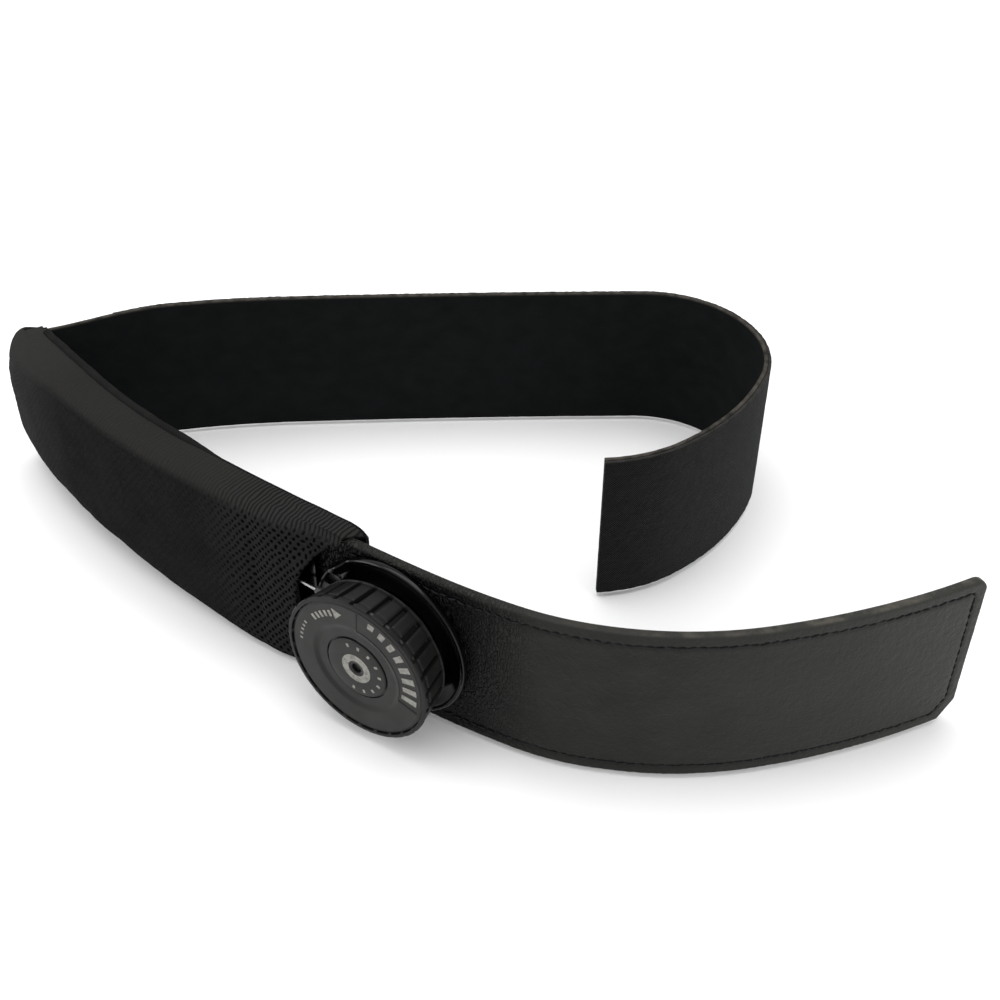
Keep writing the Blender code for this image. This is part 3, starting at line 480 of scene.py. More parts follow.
def leather_material():
    """Satin leather: fine grain, coarse crazing near the dial, worn light edges, painted shade close to the
    dial and painted light towards the far end.
    """
    finish = Finish("leather", 0.45, 0.12)
    vector = finish.cloth()
    s, _, z = finish.split(vector)
    near = finish.between(s, 46 * MM, 22 * MM)
    tone = finish.noise(finish.stretched(vector, (1, 1.4, 0)), 60.0, 5.0)
    body = finish.ramp(tone, (0.25, (0.0085, 0.0084, 0.0074)), (0.8, (0.0155, 0.0152, 0.0134)))
    # Painted light: the leather is painted lighter towards the tab's far end.
    far = finish.between(s, 60 * MM, 165 * MM)
    body = finish.mix(far, body, (0.027, 0.0275, 0.0238))
    # Painted shade: the leather is painted almost black close to the dial, in the dial's shade.
    body = finish.mix(near, body, (0.0009, 0.0009, 0.0009))
    edge = finish.between(z, (WIDTH - 1.2) * MM, (WIDTH - 0.1) * MM)
    patches = finish.between(finish.noise(vector, 220.0, 4.0), 0.42, 0.66)
    rim = finish.between(z, (WIDTH - 0.35) * MM, (WIDTH - 0.02) * MM)
    worn = finish.math("MULTIPLY", finish.math("MULTIPLY", rim, patches),
                       finish.between(s, 30 * MM, 150 * MM))
    body = finish.mix(finish.math("MULTIPLY", edge, 0.6), body, (0.024, 0.0235, 0.0215))
    finish.color(finish.mix(worn, body, (0.075, 0.068, 0.055)))
    pores = finish.cells(finish.stretched(vector, (1, 1.0, 0)), 1500.0)
    creases = finish.noise(finish.stretched(vector, (1.0, 0.55, 0)), 700.0, 4.0, 0.6)
    crazing = finish.cells(finish.stretched(vector, (1.25, 0.6, 0)), 900.0, "DISTANCE_TO_EDGE")
    finish.bump(finish.math("MULTIPLY_ADD", pores, 0.5, creases), 0.00022, 0.7)
    cracked = finish.math("MULTIPLY", finish.between(crazing, 0.0, 0.16), near)
    finish.bump(cracked, 0.00045, 0.9)
    finish.roughness(finish.between(finish.math("ADD", tone, near), 1.9, -0.3))
    rough = finish.shader.inputs["Roughness"].links[0].from_node
    rough.inputs["To Min"].default_value = 0.36
    rough.inputs["To Max"].default_value = 0.56
    return finish.material


def plastic_material(name, low, high, roughness, specular=0.45, grain=0.00003, scale=1800.0, coat=0.0):
    """Moulded plastic with a fine spark-eroded grain, slight mottling and uneven gloss."""
    finish = Finish(name, roughness, specular)
    finish.shader.inputs["Coat Weight"].default_value = coat
    place = finish.place()
    tone = finish.noise(place, 120.0, 4.0)
    finish.color(finish.ramp(tone, (0.3, low), (0.72, high)))
    finish.bump(finish.noise(place, scale, 3.0), grain, 0.5)
    gloss = finish.between(finish.noise(place, 260.0, 4.0), 0.2, 0.8)
    gloss.node.inputs["To Min"].default_value = max(0.04, roughness - 0.08)
    gloss.node.inputs["To Max"].default_value = roughness + 0.08
    finish.roughness(gloss)
    return finish.material


def metal_material(name, level, roughness):
    finish = Finish(name, roughness, 0.5, metallic=1.0)
    place = finish.place()
    streaks = finish.noise(finish.stretched(place, (1, 1, 9)), 500.0, 3.0)
    finish.color(finish.ramp(streaks, (0.3, grey(level * 0.8)), (0.7, grey(level))))
    finish.bump(streaks, 0.00001, 0.4)
    return finish.material


def print_material():
    """Pad-printed paint, with a little loss at its edges."""
    finish = Finish("mark_paint", 0.62, 0.15)
    place = finish.place()
    wear = finish.noise(place, 900.0, 4.0)
    finish.color(finish.ramp(wear, (0.3, (0.13, 0.127, 0.118)), (0.55, (0.23, 0.225, 0.205))))
    finish.bump(wear, 0.00002, 0.4)
    return finish.material


def front_crown(z):
    return 1 - np.clip(np.abs(z - 25.5) / 27.5, 0, 1) ** 2.6


def bulge(s):
    """How far the padding pushes the cover out at mid height, along the sleeve."""
    flat = -0.5 * smooth(s, -44, -38)
    padded = 0.9 * smooth(s, -42, -56)
    far = 1.7 * smooth(s, -95, -160)
    crease = -0.9 * np.exp(-(((s + 43.5) / 2.0) ** 2))
    return flat + padded + far + crease


# ---------------------------------------------------------------- leather tab

STITCH_INSET = 3.6
STITCH_PITCH = 2.6


def tab_corners(s, h, z):
    """Rounds the tab's top corner, chamfers its bottom one and rounds its end."""
    top = 4 - np.sqrt(np.maximum(16 - np.clip(s - (TAB_END - 4), 0, 4) ** 2, 0))
    bottom = np.clip(s - (TAB_END - 5), 0, 5) * 6 / 5
    z = z - top * smooth(z, 38, 49) + bottom * smooth(z, 17, 1)
    t = np.clip((s - (TAB_END - 0.7)) / 0.7, 0, 1)
    edge = 0.7 * (1 - np.sqrt(np.maximum(1 - t * t, 0)))
    return -1.5 + (h + 1.5) * (1 - edge / 1.6), MID + (z - MID) * (1 - edge / MID)


STITCH_PATH = [(-14, WIDTH - STITCH_INSET), (158.4, WIDTH - STITCH_INSET), (159.4, 45.2), (159.4, 8.2),
               (155.4, STITCH_INSET), (-14, STITCH_INSET)]


def stitch_distance(s, z):
    best = np.full_like(s, 1e9)
    for (s0, z0), (s1, z1) in zip(STITCH_PATH, STITCH_PATH[1:]):
        ds, dz = s1 - s0, z1 - z0
        t = np.clip(((s - s0) * ds + (z - z0) * dz) / (ds * ds + dz * dz), 0, 1)
        best = np.minimum(best, np.hypot(s - s0 - t * ds, z - z0 - t * dz))
    return best


def leather_relief(s, v, h, z):
    front = smooth(h, -0.7, -0.1)
    apart = stitch_distance(s, z)
    groove = -0.34 * np.exp(-((apart / 0.6) ** 2))
    pucker = 0.07 * np.cos(2 * math.pi * (s + z) / STITCH_PITCH) * np.exp(-((apart / 1.6) ** 2))
    grain = 0.05 * noise(s + z * 0.5, z * 0.8 - s * 0.3, 1.3, 1) + 0.035 * noise(s * 1.3, z, 0.75, 2)
    near = smooth(s, 48, 22)
    craze = -0.13 * near * (1 - np.abs(noise(s * 1.5, z * 0.7, 1.3, 3))) ** 3
    waves = 0.10 * noise(s, z, 13.0, 4)
    return front * (groove + pucker + grain + craze + waves)


def build_tab():
    corners = [(-3.0, 45.5, 0.1, 1), (-3.0, 50, 0.95, 1), (0, 50, 0.95, 0.45), (0, 0, 0.95, 1),
               (-3.0, 0, 0.95, 1),
               (-3.0, 4.5, 0.1, 1), (-2.5, 4.5, 0.1, 2), (-2.5, 1.1, 0.1, 1), (-1.3, 1.1, 0.1, 4),
               (-1.3, 48.9, 0.1, 1), (-2.5, 48.9, 0.1, 2), (-2.5, 45.5, 0.1, 1)]

    def shape(s, h, z):
        inside = (np.abs(h + 1.3) < 0.1) & (z > 0.9) & (z < 49.1)
        closing = smooth(s, TAB_END - 4.5, TAB_END - 3)
        h = np.where(inside, h - 1.12 * closing, h)
        return tab_corners(s, h, z)

    ends = [162.3, 162.6, 162.8, 162.92, 163.0]
    along = np.concatenate([np.arange(TAB_START, 162.1, 0.45), ends])
    tab = sweep("tab_leather", BELT, along, section_of(corners), leather_material(), leather_relief, shape)
    place(tab, "root", "leather", "leather_face")

    core = cloth_material("core_webbing_cloth", (0.010, 0.010, 0.011), (0.02, 0.02, 0.021), 1.4)
    box = [(-2.4, 48.7, 0.3, 2), (-1.4, 48.7, 0.3, 2), (-1.4, 1.3, 0.3, 2), (-2.4, 1.3, 0.3, 2)]
    piece = sweep("tab_core", BELT, np.arange(TAB_START, 158, 2), section_of(box), core, shape=tab_corners)
    place(piece, "root", "webbing", "core_webbing")

    cloth = cloth_material("lining_cloth", (0.011, 0.011, 0.012), (0.021, 0.021, 0.022), 0.7)
    box = [(-3.5, 48.2, 0.2, 0.8), (-3.06, 48.2, 0.15, 2), (-3.06, 1.8, 0.15, 2), (-3.5, 1.8, 0.2, 1)]
    piece = sweep("tab_lining_cloth", BELT, np.arange(TAB_START, 161.5, 0.8), section_of(box), cloth,
                  lambda s, v, h, z: 0.05 * noise(s, z, 3.0, 5) * smooth(h, -3.3, -3.45), tab_corners)
    place(piece, "root", "lining", "tab_lining")
    build_hooks()
    build_stitches()


def build_hooks():
    tape = cloth_material("hook_tape_cloth", (0.008, 0.008, 0.009), (0.016, 0.016, 0.017), 0.9)
    box = [(-4.05, 47, 0.2, 1), (-3.53, 47, 0.2, 2), (-3.53, 3, 0.2, 1), (-4.05, 3, 0.2, 1)]
    piece = sweep("hook_patch_tape", BELT, np.arange(76, 156.1, 1), section_of(box), tape)
    place(piece, "root", "hook_tape", "hook_patch")
    curve = np.array([(0, 0.1, 0.13), (0.02, -0.28, 0.11), (0.12, -0.52, 0.10), (0.32, -0.64, 0.09),
                      (0.50, -0.56, 0.08), (0.55, -0.40, 0.06)])
    tangent = np.gradient(curve[:, :2], axis=0)
    tangent /= np.linalg.norm(tangent, axis=1, keepdims=True)
    side = np.stack([-tangent[:, 1], tangent[:, 0]], -1)
    angle = circle_angles(5)
    ds = curve[:, None, 0] + curve[:, None, 2] * side[:, None, 0] * np.cos(angle)
    dh = curve[:, None, 1] + curve[:, None, 2] * side[:, None, 1] * np.cos(angle)
    dz = curve[:, None, 2] * np.sin(angle) + 0 * ds
    parts = []
    faces = grid_faces(len(curve), len(angle))
    for row, s in enumerate(np.arange(77.4, 155, 1.7)):
        for z in np.arange(4.4 + 0.75 * (row % 2), 46, 1.6):
            turn = 1 if row % 2 else -1
            points = BELT.place(s + turn * ds, -4.05 + dh, z + dz)
            parts.append((points.reshape(-1, 3), faces))
    hooks = merged("hook_patch_hooks", parts, plastic_material("hook_nylon", grey(0.012), grey(0.03), 0.45))
    place(hooks, "root", "hook_tape")


def build_stitches():
    thread = Finish("stitch_thread", 0.7, 0.2)
    spot = thread.place()
    thread.color(thread.ramp(thread.noise(spot, 900.0), (0.3, (0.0035, 0.0036, 0.0045)),
                             (0.8, (0.010, 0.0105, 0.013))))
    thread.bump(thread.noise(spot, 4000.0), 0.00008, 0.6)
    random = np.random.default_rng(11)
    path = np.array(STITCH_PATH, float)
    steps = np.hypot(*np.diff(path, axis=0).T)
    total = np.concatenate([[0], np.cumsum(steps)])
    parts = []
    t = np.linspace(0, 1, 7)
    swell = 0.30 * np.sqrt(np.maximum(1 - (2 * t - 1) ** 2 * 0.93, 0))
    for start in np.arange(0.4, total[-1] - 2.4, STITCH_PITCH):
        reach = start + 0.15 + t * (STITCH_PITCH - 0.3)
        s = np.interp(reach, total, path[:, 0])
        z = (np.interp(reach, total, path[:, 1]) + random.uniform(-0.16, 0.16)
             + (t - 0.5) * random.uniform(-0.7, 0.7))
        h = -0.30 + 0.16 * np.sin(math.pi * t) + random.uniform(-0.03, 0.03)
        parts.append(tube(BELT.place(s, h, z), swell * random.uniform(0.85, 1.15) * MM, 6))
    place(merged("tab_stitching", parts, thread.material, sharp=0), "root", "leather")


# ---------------------------------------------------------------- sleeve


def mouth(h, z):
    """Where the cover's mouth lies: an arc round the dial, reaching further back on the inner side."""
    arc = -np.sqrt(np.maximum(29.0**2 - (z - MID) ** 2, 15.0**2))
    return arc + 2.5 * smooth(h, 1, -5) * smooth(z, 49, 51)


def knit_relief(s, v, h, z, opening):
    cells = np.cos(2 * math.pi * s / HOLE_PITCH) * np.cos(2 * math.pi * v / HOLE_ROW)
    ribs = smooth(z, 48.4, 50.4)
    holes = (smooth(cells, 0.2, 0.8) * (1 - ribs)
             + 0.45 * smooth(np.cos(2 * math.pi * s / RIB_PITCH), 0, 1) * ribs)
    return -0.34 * holes * (0.15 + 0.85 * opening)


def cover_relief(s, v, h, z):
    outside = smooth(np.abs(z - 25.5), 26.2, 26.4) + smooth(h, 5.6, 6.0)
    knit = knit_relief(s, v, h, z, smooth(s, -62, -44))
    hem = 0.28 * np.exp(-(((mouth(h, z) - s - 1.2) / 0.9) ** 2))
    lumps = 0.22 * noise(s, z, 9.0, 21) + 0.12 * noise(s, z * 0.6, 4.0, 22)
    return np.clip(outside, 0, 1) * (knit + hem + lumps * smooth(h, 0, 5))


def far_end(s, h, z):
    """The sleeve's padding narrows towards its far end: a lower, rounder top and a tucked-in foot."""
    low = 3.5 * smooth(s, -128, -168) * smooth(z, 25, 50)
    rounding = 4.0 * smooth(s, -115, -165) * np.clip(h / 7.0, 0, 1) ** 2.5 * smooth(z, 32, 50)
    foot = 0.5 + 4.7 * smooth(s, -36, -112)
    tuck = foot * np.clip((15 - z) / 16, 0, 1) ** 2.2 * np.clip(h / 6.2, 0, 1)
    return h - tuck, z - low - rounding


def mouth_corner(s, z):
    """How far the sleeve's top edge drops at the mouth, as a rounded corner."""
    t = np.clip((s + 19.5) / 7, 0, 1)
    return 2.6 * (1 - np.sqrt(np.maximum(1 - t * t, 0))) * smooth(z, 44, 50.5)


def cover_shape(s, h, z):
    front = smooth(h, -3, 5)
    side = smooth(np.abs(z - MID), 11, 20)
    lowered = 3.5 * smooth(s, -40, -20) * side * smooth(h, 0, 5)
    h = h + bulge(s) * front * front_crown(z) - lowered
    return far_end(s, h, z - mouth_corner(s, z))


def build_sleeve():
    # Colours: the thread, the painted shade in the holes, and the painted highlight of the ribbed top band.
    knit = knit_material("canvas_knit", (0.0058, 0.0058, 0.0058), (0.0008, 0.0008, 0.0008), -62,
                         (0.026, 0.0252, 0.0242))
    corners = [(-5.2, 51.8, 0.3, 0.33), (6.2, 51.8, 4.4, 0.33), (6.2, -1.0, 3.2, 0.6), (-5.2, -1.0, 0.3, 1),
               (-5.2, -0.1, 0.1, 3), (5.3, -0.1, 2.4, 3), (5.3, 50.9, 3.4, 3), (-5.2, 50.9, 0.1, 1)]
    t = np.linspace(0, 1, 470)

    def warp(t, h, z):
        start = mouth(h, z)
        return start + (SLEEVE_END - 0.6 - start) * t

    cover = sweep("sleeve_cover", BELT, t, section_of(corners), knit, cover_relief, cover_shape, warp,
                  sharp=0, uneven=0.38)
    place(cover, "root", "canvas", "sleeve_front_cover")
    draw_in(cover)

    cloth = cloth_material("sleeve_back_cloth", (0.009, 0.009, 0.0095), (0.017, 0.017, 0.018), 0.6)
    box = [(-6.6, 50.9, 0.5, 0.8), (-5.5, 50.9, 0.4, 2), (-5.5, -0.9, 0.4, 2), (-6.6, -0.9, 0.5, 1)]

    def back_shape(s, h, z):
        crown = 0.5 * front_crown(z) * smooth(s, -20, -50) * smooth(s, -163, -140)
        return far_end(s, h + 1.0 * smooth(s, -150, -165) - crown, z - mouth_corner(s, z))

    panel = sweep("sleeve_back", BELT, np.arange(SLEEVE_MOUTH + 3, SLEEVE_END - 0.5, -0.8), section_of(box),
                  cloth, lambda s, v, h, z: 0.12 * noise(s, z, 7.0, 31) * smooth(h, -6.2, -6.5), back_shape)
    place(panel, "root", "panel_cloth", "sleeve_back_panel")
    draw_in(panel)

    tape = cloth_material("welt_cloth", (0.012, 0.012, 0.0118), (0.022, 0.0215, 0.021), 0.9)
    s = np.arange(-58, SLEEVE_END - 0.4, -0.5)
    fade = smooth(s, -84, -58)
    radius = 1.4 + 0.06 * noise(s, s * 0, 2.5, 41) - 1.1 * fade
    back = -6.0 + 0.9 * smooth(s, -150, -165) + 0.3 * fade
    height = far_end(s, 0 * s, 51.4 - 0.4 * fade + 0.1 * noise(s, s * 0, 9, 42))[1]
    line = BELT.place(s, back, height)
    points, faces = tube(line, radius * MM, 14)
    coords = np.stack([np.repeat(s, 14), np.tile(circle_angles(14) * 1.3, len(s)), 0 * np.repeat(s, 14)],
                      -1) * MM
    welt = new_object("sleeve_welt", points, faces, tape, coords, sharp=0)
    place(welt, "root", "binding_tape", "top_binding")
    draw_in(welt)
    build_filling()


def build_filling():
    foam = plastic_material("foam_cells", grey(0.035), grey(0.06), 0.9, 0.1, 0.0003, 700.0)
    box = [(-5.25, 46.5, 0.8, 2), (-3.25, 46.5, 0.8, 2), (-3.25, 3.5, 0.8, 2), (-5.25, 3.5, 0.8, 2)]
    pad = sweep("foam_pad", BELT, np.arange(-42, -112, -2), section_of(box), foam,
                lambda s, v, h, z: -0.15 * np.abs(noise(s, z, 5.0, 51)))
    place(pad, "root", "foam", "sleeve_foam")
    draw_in(pad)
    shot = plastic_material("shot_pouch", grey(0.02), grey(0.05), 0.7, 0.3, 0.0004, 420.0)
    for index in range(1, 5):
        low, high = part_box(f"ballast_pack_{index}")
        middle = (low + high) / 2 / MM
        s_middle = float(BELT.s[np.argmin(np.hypot(BELT.x - middle.x, BELT.y - middle.y))])
        box = [(-2.8, 44.7, 2.2, 1), (2.6, 44.7, 2.2, 1), (2.6, 5.3, 2.2, 1), (-2.8, 5.3, 2.2, 1)]

        def pillow(s, h, z, s_middle=s_middle):
            t = np.clip(np.abs(s - s_middle) / 7.7, 0, 1)
            thin = np.sqrt(np.maximum(1 - t**3.5, 0.02))
            return -0.1 + (h + 0.1) * thin, MID + (z - MID) * (0.94 + 0.06 * thin)

        pouch = sweep(f"ballast_pouch_{index}", BELT, np.linspace(s_middle - 7.7, s_middle + 7.7, 30),
                      section_of(box),
                      shot, lambda s, v, h, z: -0.2 * np.abs(noise(s, z, 2.4, 60)), pillow, sharp=0)
        place(pouch, "root", "ballast", f"ballast_pack_{index}")


# ---------------------------------------------------------------- fold and back strap


def rail_of(rows, side=1):
    rail = Rail.__new__(Rail)
    rail.s, rail.x, rail.y, rail.heading = np.array(rows, float).T
    rail.side = side
    return rail


def build_fold():
    """The cover's cloth round the fold, which bends from the anchor to the strap, and the roof over it."""
    arc = 11.0
    rows = []
    for p in np.linspace(-10, 0, 11):
        s = FOLD_S - p
        rows.append((p, np.interp(s, BELT.s, BELT.x), np.interp(s, BELT.s, BELT.y),
                     np.interp(s, BELT.s, BELT.heading)))
    first, last = rows[-1][3], STRAP_HEADING - math.pi
    rows += [(arc * t, FOLD_POINT.x, FOLD_POINT.y, first + (last - first) * t)
             for t in np.linspace(0.05, 1, 20)]
    for p in np.linspace(1, 16, 16):
        rows.append((arc + p, np.interp(p, STRAP.s, STRAP.x), np.interp(p, STRAP.s, STRAP.y),
                     np.interp(p, STRAP.s, STRAP.heading) - math.pi))
    # Painted light: the fold's knit is the cover's knit with a lighter thread, like the painted light on the
    # sleeve's far end. Its holes hold painted shade and its top band a painted highlight.
    knit = knit_material("fold_knit", (0.0165, 0.0168, 0.0168), (0.0065, 0.0065, 0.0065), 500,
                         (0.026, 0.0255, 0.0245))
    corners = [(0.9, 51.8, 0.3, 0.5), (6.2, 51.8, 4.4, 0.5), (6.2, -1.0, 3.4, 0.8), (0.9, -1.0, 0.3, 1),
               (0.9, 0.2, 0.2, 1), (4.9, 0.2, 1.6, 2), (4.9, 49.0, 2.0, 1), (0.9, 49.0, 0.2, 1)]

    def shape(p, h, z):
        u = smooth(p, -1, arc)
        out = bulge(-161.5 + 0 * p) * (1 - u) * front_crown(z)
        h = h * (1 - u * 0.36) + out * np.clip(h / 6.2, 0, 1)
        end = smooth(p, arc - 1, arc + 6.5)
        inside = smooth(p, -4.2, -6.5)
        h = h - (h - 2.5) * end * 0.6 - 1.1 * inside * np.clip(h / 6.2, -1, 1)
        return far_end(FOLD_S + np.minimum(-p, 5), h, z - (z - MID) * (0.03 * inside + 0.06 * end))

    cloth = sweep("fold_cloth", rail_of(rows), np.arange(-8.8, arc + 6.6, 0.4), section_of(corners), knit,
                  lambda s, v, h, z: (0.1 * noise(s, z, 5.0, 71) + 0.05 * noise(s, z, 1.2, 72))
                  * smooth(h, 3.5, 5.5), shape, sharp=0)
    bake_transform(cloth)

    flat = section_of([(-5.0, 51.5, 0.3, 0.6), (1.6, 51.5, 0.3, 2), (1.6, 50.7, 0.2, 1),
                       (-5.0, 50.7, 0.3, 1)])
    roof = sweep("fold_roof", rail_of(rows), np.arange(-6.5, 0.6, 0.4), flat, knit,
                 shape=lambda p, h, z: far_end(FOLD_S - p, h, z), sharp=0)
    place(roof, "anchor", "canvas")


def build_strap():
    inner = cloth_material("strap_inner_cloth", (0.0088, 0.0098, 0.0100), (0.0150, 0.0164, 0.0172), 0.55,
                           depth=0.00005, edge=(0.055, 0.050, 0.044))
    box = [(0, 50, 0.45, 1), (1.25, 50, 0.45, 2), (1.25, 0, 0.45, 1), (0, 0, 0.45, 1)]
    strap = sweep("strap_band", STRAP, np.arange(STRAP_START, STRAP_END + 0.1, 0.8), section_of(box), inner,
                  lambda s, v, h, z: 0.03 * noise(s, z, 2.0, 81),
                  lambda s, h, z: (h, z - 3.4 * smooth(s, 45, 3) * smooth(z, 30, 50)))
    place(strap, "strap", "strap_webbing", "back_strap")

    pile = cloth_material("pile_cloth", (0.0072, 0.0076, 0.0077), (0.0135, 0.0138, 0.0140), 0.8,
                          depth=0.0004, edge=(0.032, 0.030, 0.027), sheen=0.08)
    box = [(1.3, 49.6, 0.2, 1), (2.3, 49.6, 0.35, 0.55), (2.3, 0.4, 0.35, 1), (1.3, 0.4, 0.2, 4)]

    def fluff(s, v, h, z):
        loops = 0.09 * noise(s, z, 0.8, 82) + 0.025 * noise(s, z, 2.6, 83)
        return loops * smooth(h, 1.7, 2.2)

    cloth = sweep("strap_pile", STRAP, np.arange(27.1, STRAP_END, 0.55), section_of(box), pile, fluff,
                  lambda s, h, z: (h, z - 3.4 * smooth(s, 45, 3) * smooth(z, 30, 50)))
    place(cloth, "strap", "loop_pile", "loop_pile")

    web = cloth_material("root_webbing_cloth", (0.010, 0.010, 0.011), (0.02, 0.02, 0.021), 1.3, depth=0.0003)
    rows = [(-p, np.interp(p, STRAP.s, STRAP.x), np.interp(p, STRAP.s, STRAP.y),
             np.interp(p, STRAP.s, STRAP.heading) + math.pi) for p in np.linspace(22, 0, 23)]
    turn = STRAP_HEADING + math.pi
    rows += [(19.0 * t, FOLD_POINT.x, FOLD_POINT.y, turn + math.radians(257) * t)
             for t in np.linspace(0.03, 1, 33)]
    box = [(3.52, 43.7, 0.3, 1), (4.75, 43.7, 0.3, 2), (4.75, 6.3, 0.3, 1), (3.52, 6.3, 0.3, 1)]

    def shape(p, h, z):
        return h - 1.97 * smooth(-p, 3, 13), z

    loop = sweep("strap_loop", rail_of(rows), np.arange(-22, 19, 0.5), section_of(box), web,
                 lambda s, v, h, z: 0.06 * np.cos(2 * math.pi * s / 1.3), shape)
    place(loop, "strap", "webbing", "strap_root")


# ---------------------------------------------------------------- reel


def prism(outline_points, low, high, bevel=0.2):
    """(points, faces) in the dial's frame of a flat outline between two heights, with eased rims."""
    flat = np.array(outline_points, float)
    center = flat.mean(0)
    inset = center + (flat - center) * (1 - bevel / np.linalg.norm(flat - center, axis=1, keepdims=True))
    rows = [(inset, low), (flat, low + bevel), (flat, high - bevel), (inset, high)]
    points = np.concatenate([np.column_stack([ring, np.full(len(ring), h)]) for ring, h in rows])
    return on_dial(points), grid_faces(4, len(flat))


def sector(r0, r1, a0, a1, low, high, count=4):
    angle = np.radians(np.linspace(a0, a1, count))
    ring = np.concatenate([np.stack([r1 * np.cos(angle), r1 * np.sin(angle)], -1),
                           np.stack([r0 * np.cos(angle[::-1]), r0 * np.sin(angle[::-1])], -1)])
    points = np.concatenate([np.column_stack([ring, np.full(len(ring), h)]) for h in (low, high)])
    return on_dial(points), grid_faces(2, len(ring))


def build_base():
    gloss = plastic_material("gloss_black", grey(0.0008), grey(0.0014), 0.14, 0.22, 0.000004, 900.0)
    profile = np.array([(3.7, 0.35), (23.9, 0.35), (24.35, 0.55), (24.5, 0.9), (24.5, 1.6), (24.4, 2.05),
                        (24.1, 2.3),
                        (23.7, 2.25), (23.4, 1.95), (22.7, 1.6), (21, 1.5), (19, 1.6), (17.2, 1.75),
                        (3.7, 1.75)])

    def ears(a, r, h):
        lift = sum(np.exp(-(((a - center + math.pi) % (2 * math.pi) - math.pi) / 0.13) ** 4)
                   for center in (math.radians(131), math.radians(229)))
        high = smooth(r, 21.4, 22.9) * smooth(h, 1.2, 1.6)
        return r - 0.8 * lift * high * smooth(r, 23.0, 22.5), h + 2.9 * lift * high

    flange = polar_piece("flange_ring", circle_angles(240), profile, gloss, ears)
    place(flange, "root", "gloss_plastic", "reel_base")
    corner = [(-24.2, -14.9), (-37.5, -14.9), (-39.2, -14.2), (-39.9, -12.5), (-39.9, 12.5), (-39.2, 14.2),
              (-37.5, 14.9), (-24.2, 14.9)]
    tail = merged("flange_tail", [prism(corner, 0.35, 1.7)], gloss)
    place(tail, "root", "gloss_plastic")
    post = np.array([(1.55, 1.2), (3.2, 1.2), (3.2, 11.2), (3.0, 11.4), (1.75, 11.4), (1.55, 11.2)])
    place(polar_piece("center_post", circle_angles(40), post, gloss), "root", "gloss_plastic")


RIBS = 26


def build_grip():
    rubber = plastic_material("grip_plastic", grey(0.0055, 0.04), grey(0.0095, 0.04), 0.42, 0.14, 0.00004,
                              2400.0)
    pitch = 2 * math.pi / RIBS
    offsets = np.array([0.0, 0.50, 0.58, 0.80, 1.0, 1.3, 1.8, 2.3]) / 21.5
    one = np.concatenate([offsets, pitch - offsets[:0:-1]])
    angles = np.concatenate([one + (index + 0.5) * pitch for index in range(RIBS)])
    heights = [5.62, 5.85, 6.1, 6.3, 6.55, 7.0, 8.0, 9.0, 10.0, 11.0, 12.0, 13.0, 13.6, 13.9, 14.1, 14.3,
               14.5, 14.7, 15.0, 15.4, 15.8]
    outer = ([(21.4, 13.7), (17.6, 13.7), (17.6, 5.4), (20.4, 5.4)]
             + [(20.75 + (h - 5.4) * 0.178, h) for h in heights])
    profile = np.array(outer + [(22.55, 16.1), (22.3, 16.33), (21.9, 16.4), (21.4, 16.4)])

    def pads(a, r, h):
        away = np.abs((a / pitch - 0.5 + 0.5) % 1 - 0.5) * pitch * 21.5
        slot = smooth(away, 0.82, 0.54)
        reach = smooth(h, 6.0, 6.3) * (0.7 * smooth(h, 16.15, 15.9) + 0.3 * smooth(h, 14.9, 14.5))
        outside = (r > 20.45) & (h > 5.5) & (h < 16.3)
        middle = pitch / 2 - away / 21.5
        flat = np.cos(pitch * 0.42) / np.cos(np.clip(middle, 0, pitch * 0.42))
        body = smooth(h, 6.1, 6.6) * smooth(h, 14.4, 13.8)
        rounded = -0.25 * smooth(away, 1.25, 0.8) * body
        groove = -0.38 * np.exp(-(((h - 14.25) / 0.28) ** 2)) - 0.35 * np.exp(-(((h - 6.15) / 0.22) ** 2))
        change = r * (flat - 1) * body + rounded + groove * (1 - slot) - 1.5 * slot * reach
        return np.where(outside, r + change, r), h

    grip = polar_piece("grip_ring", angles, profile, rubber, pads, sharp=28)
    place(grip, "knob", "grip_rubber", "knob_grip")


PANEL = (-17.0, 86.0)
PANEL_RADII = (13.9, 20.2)
FACE_LEVEL = 16.2
PANEL_DEPTH = 0.22


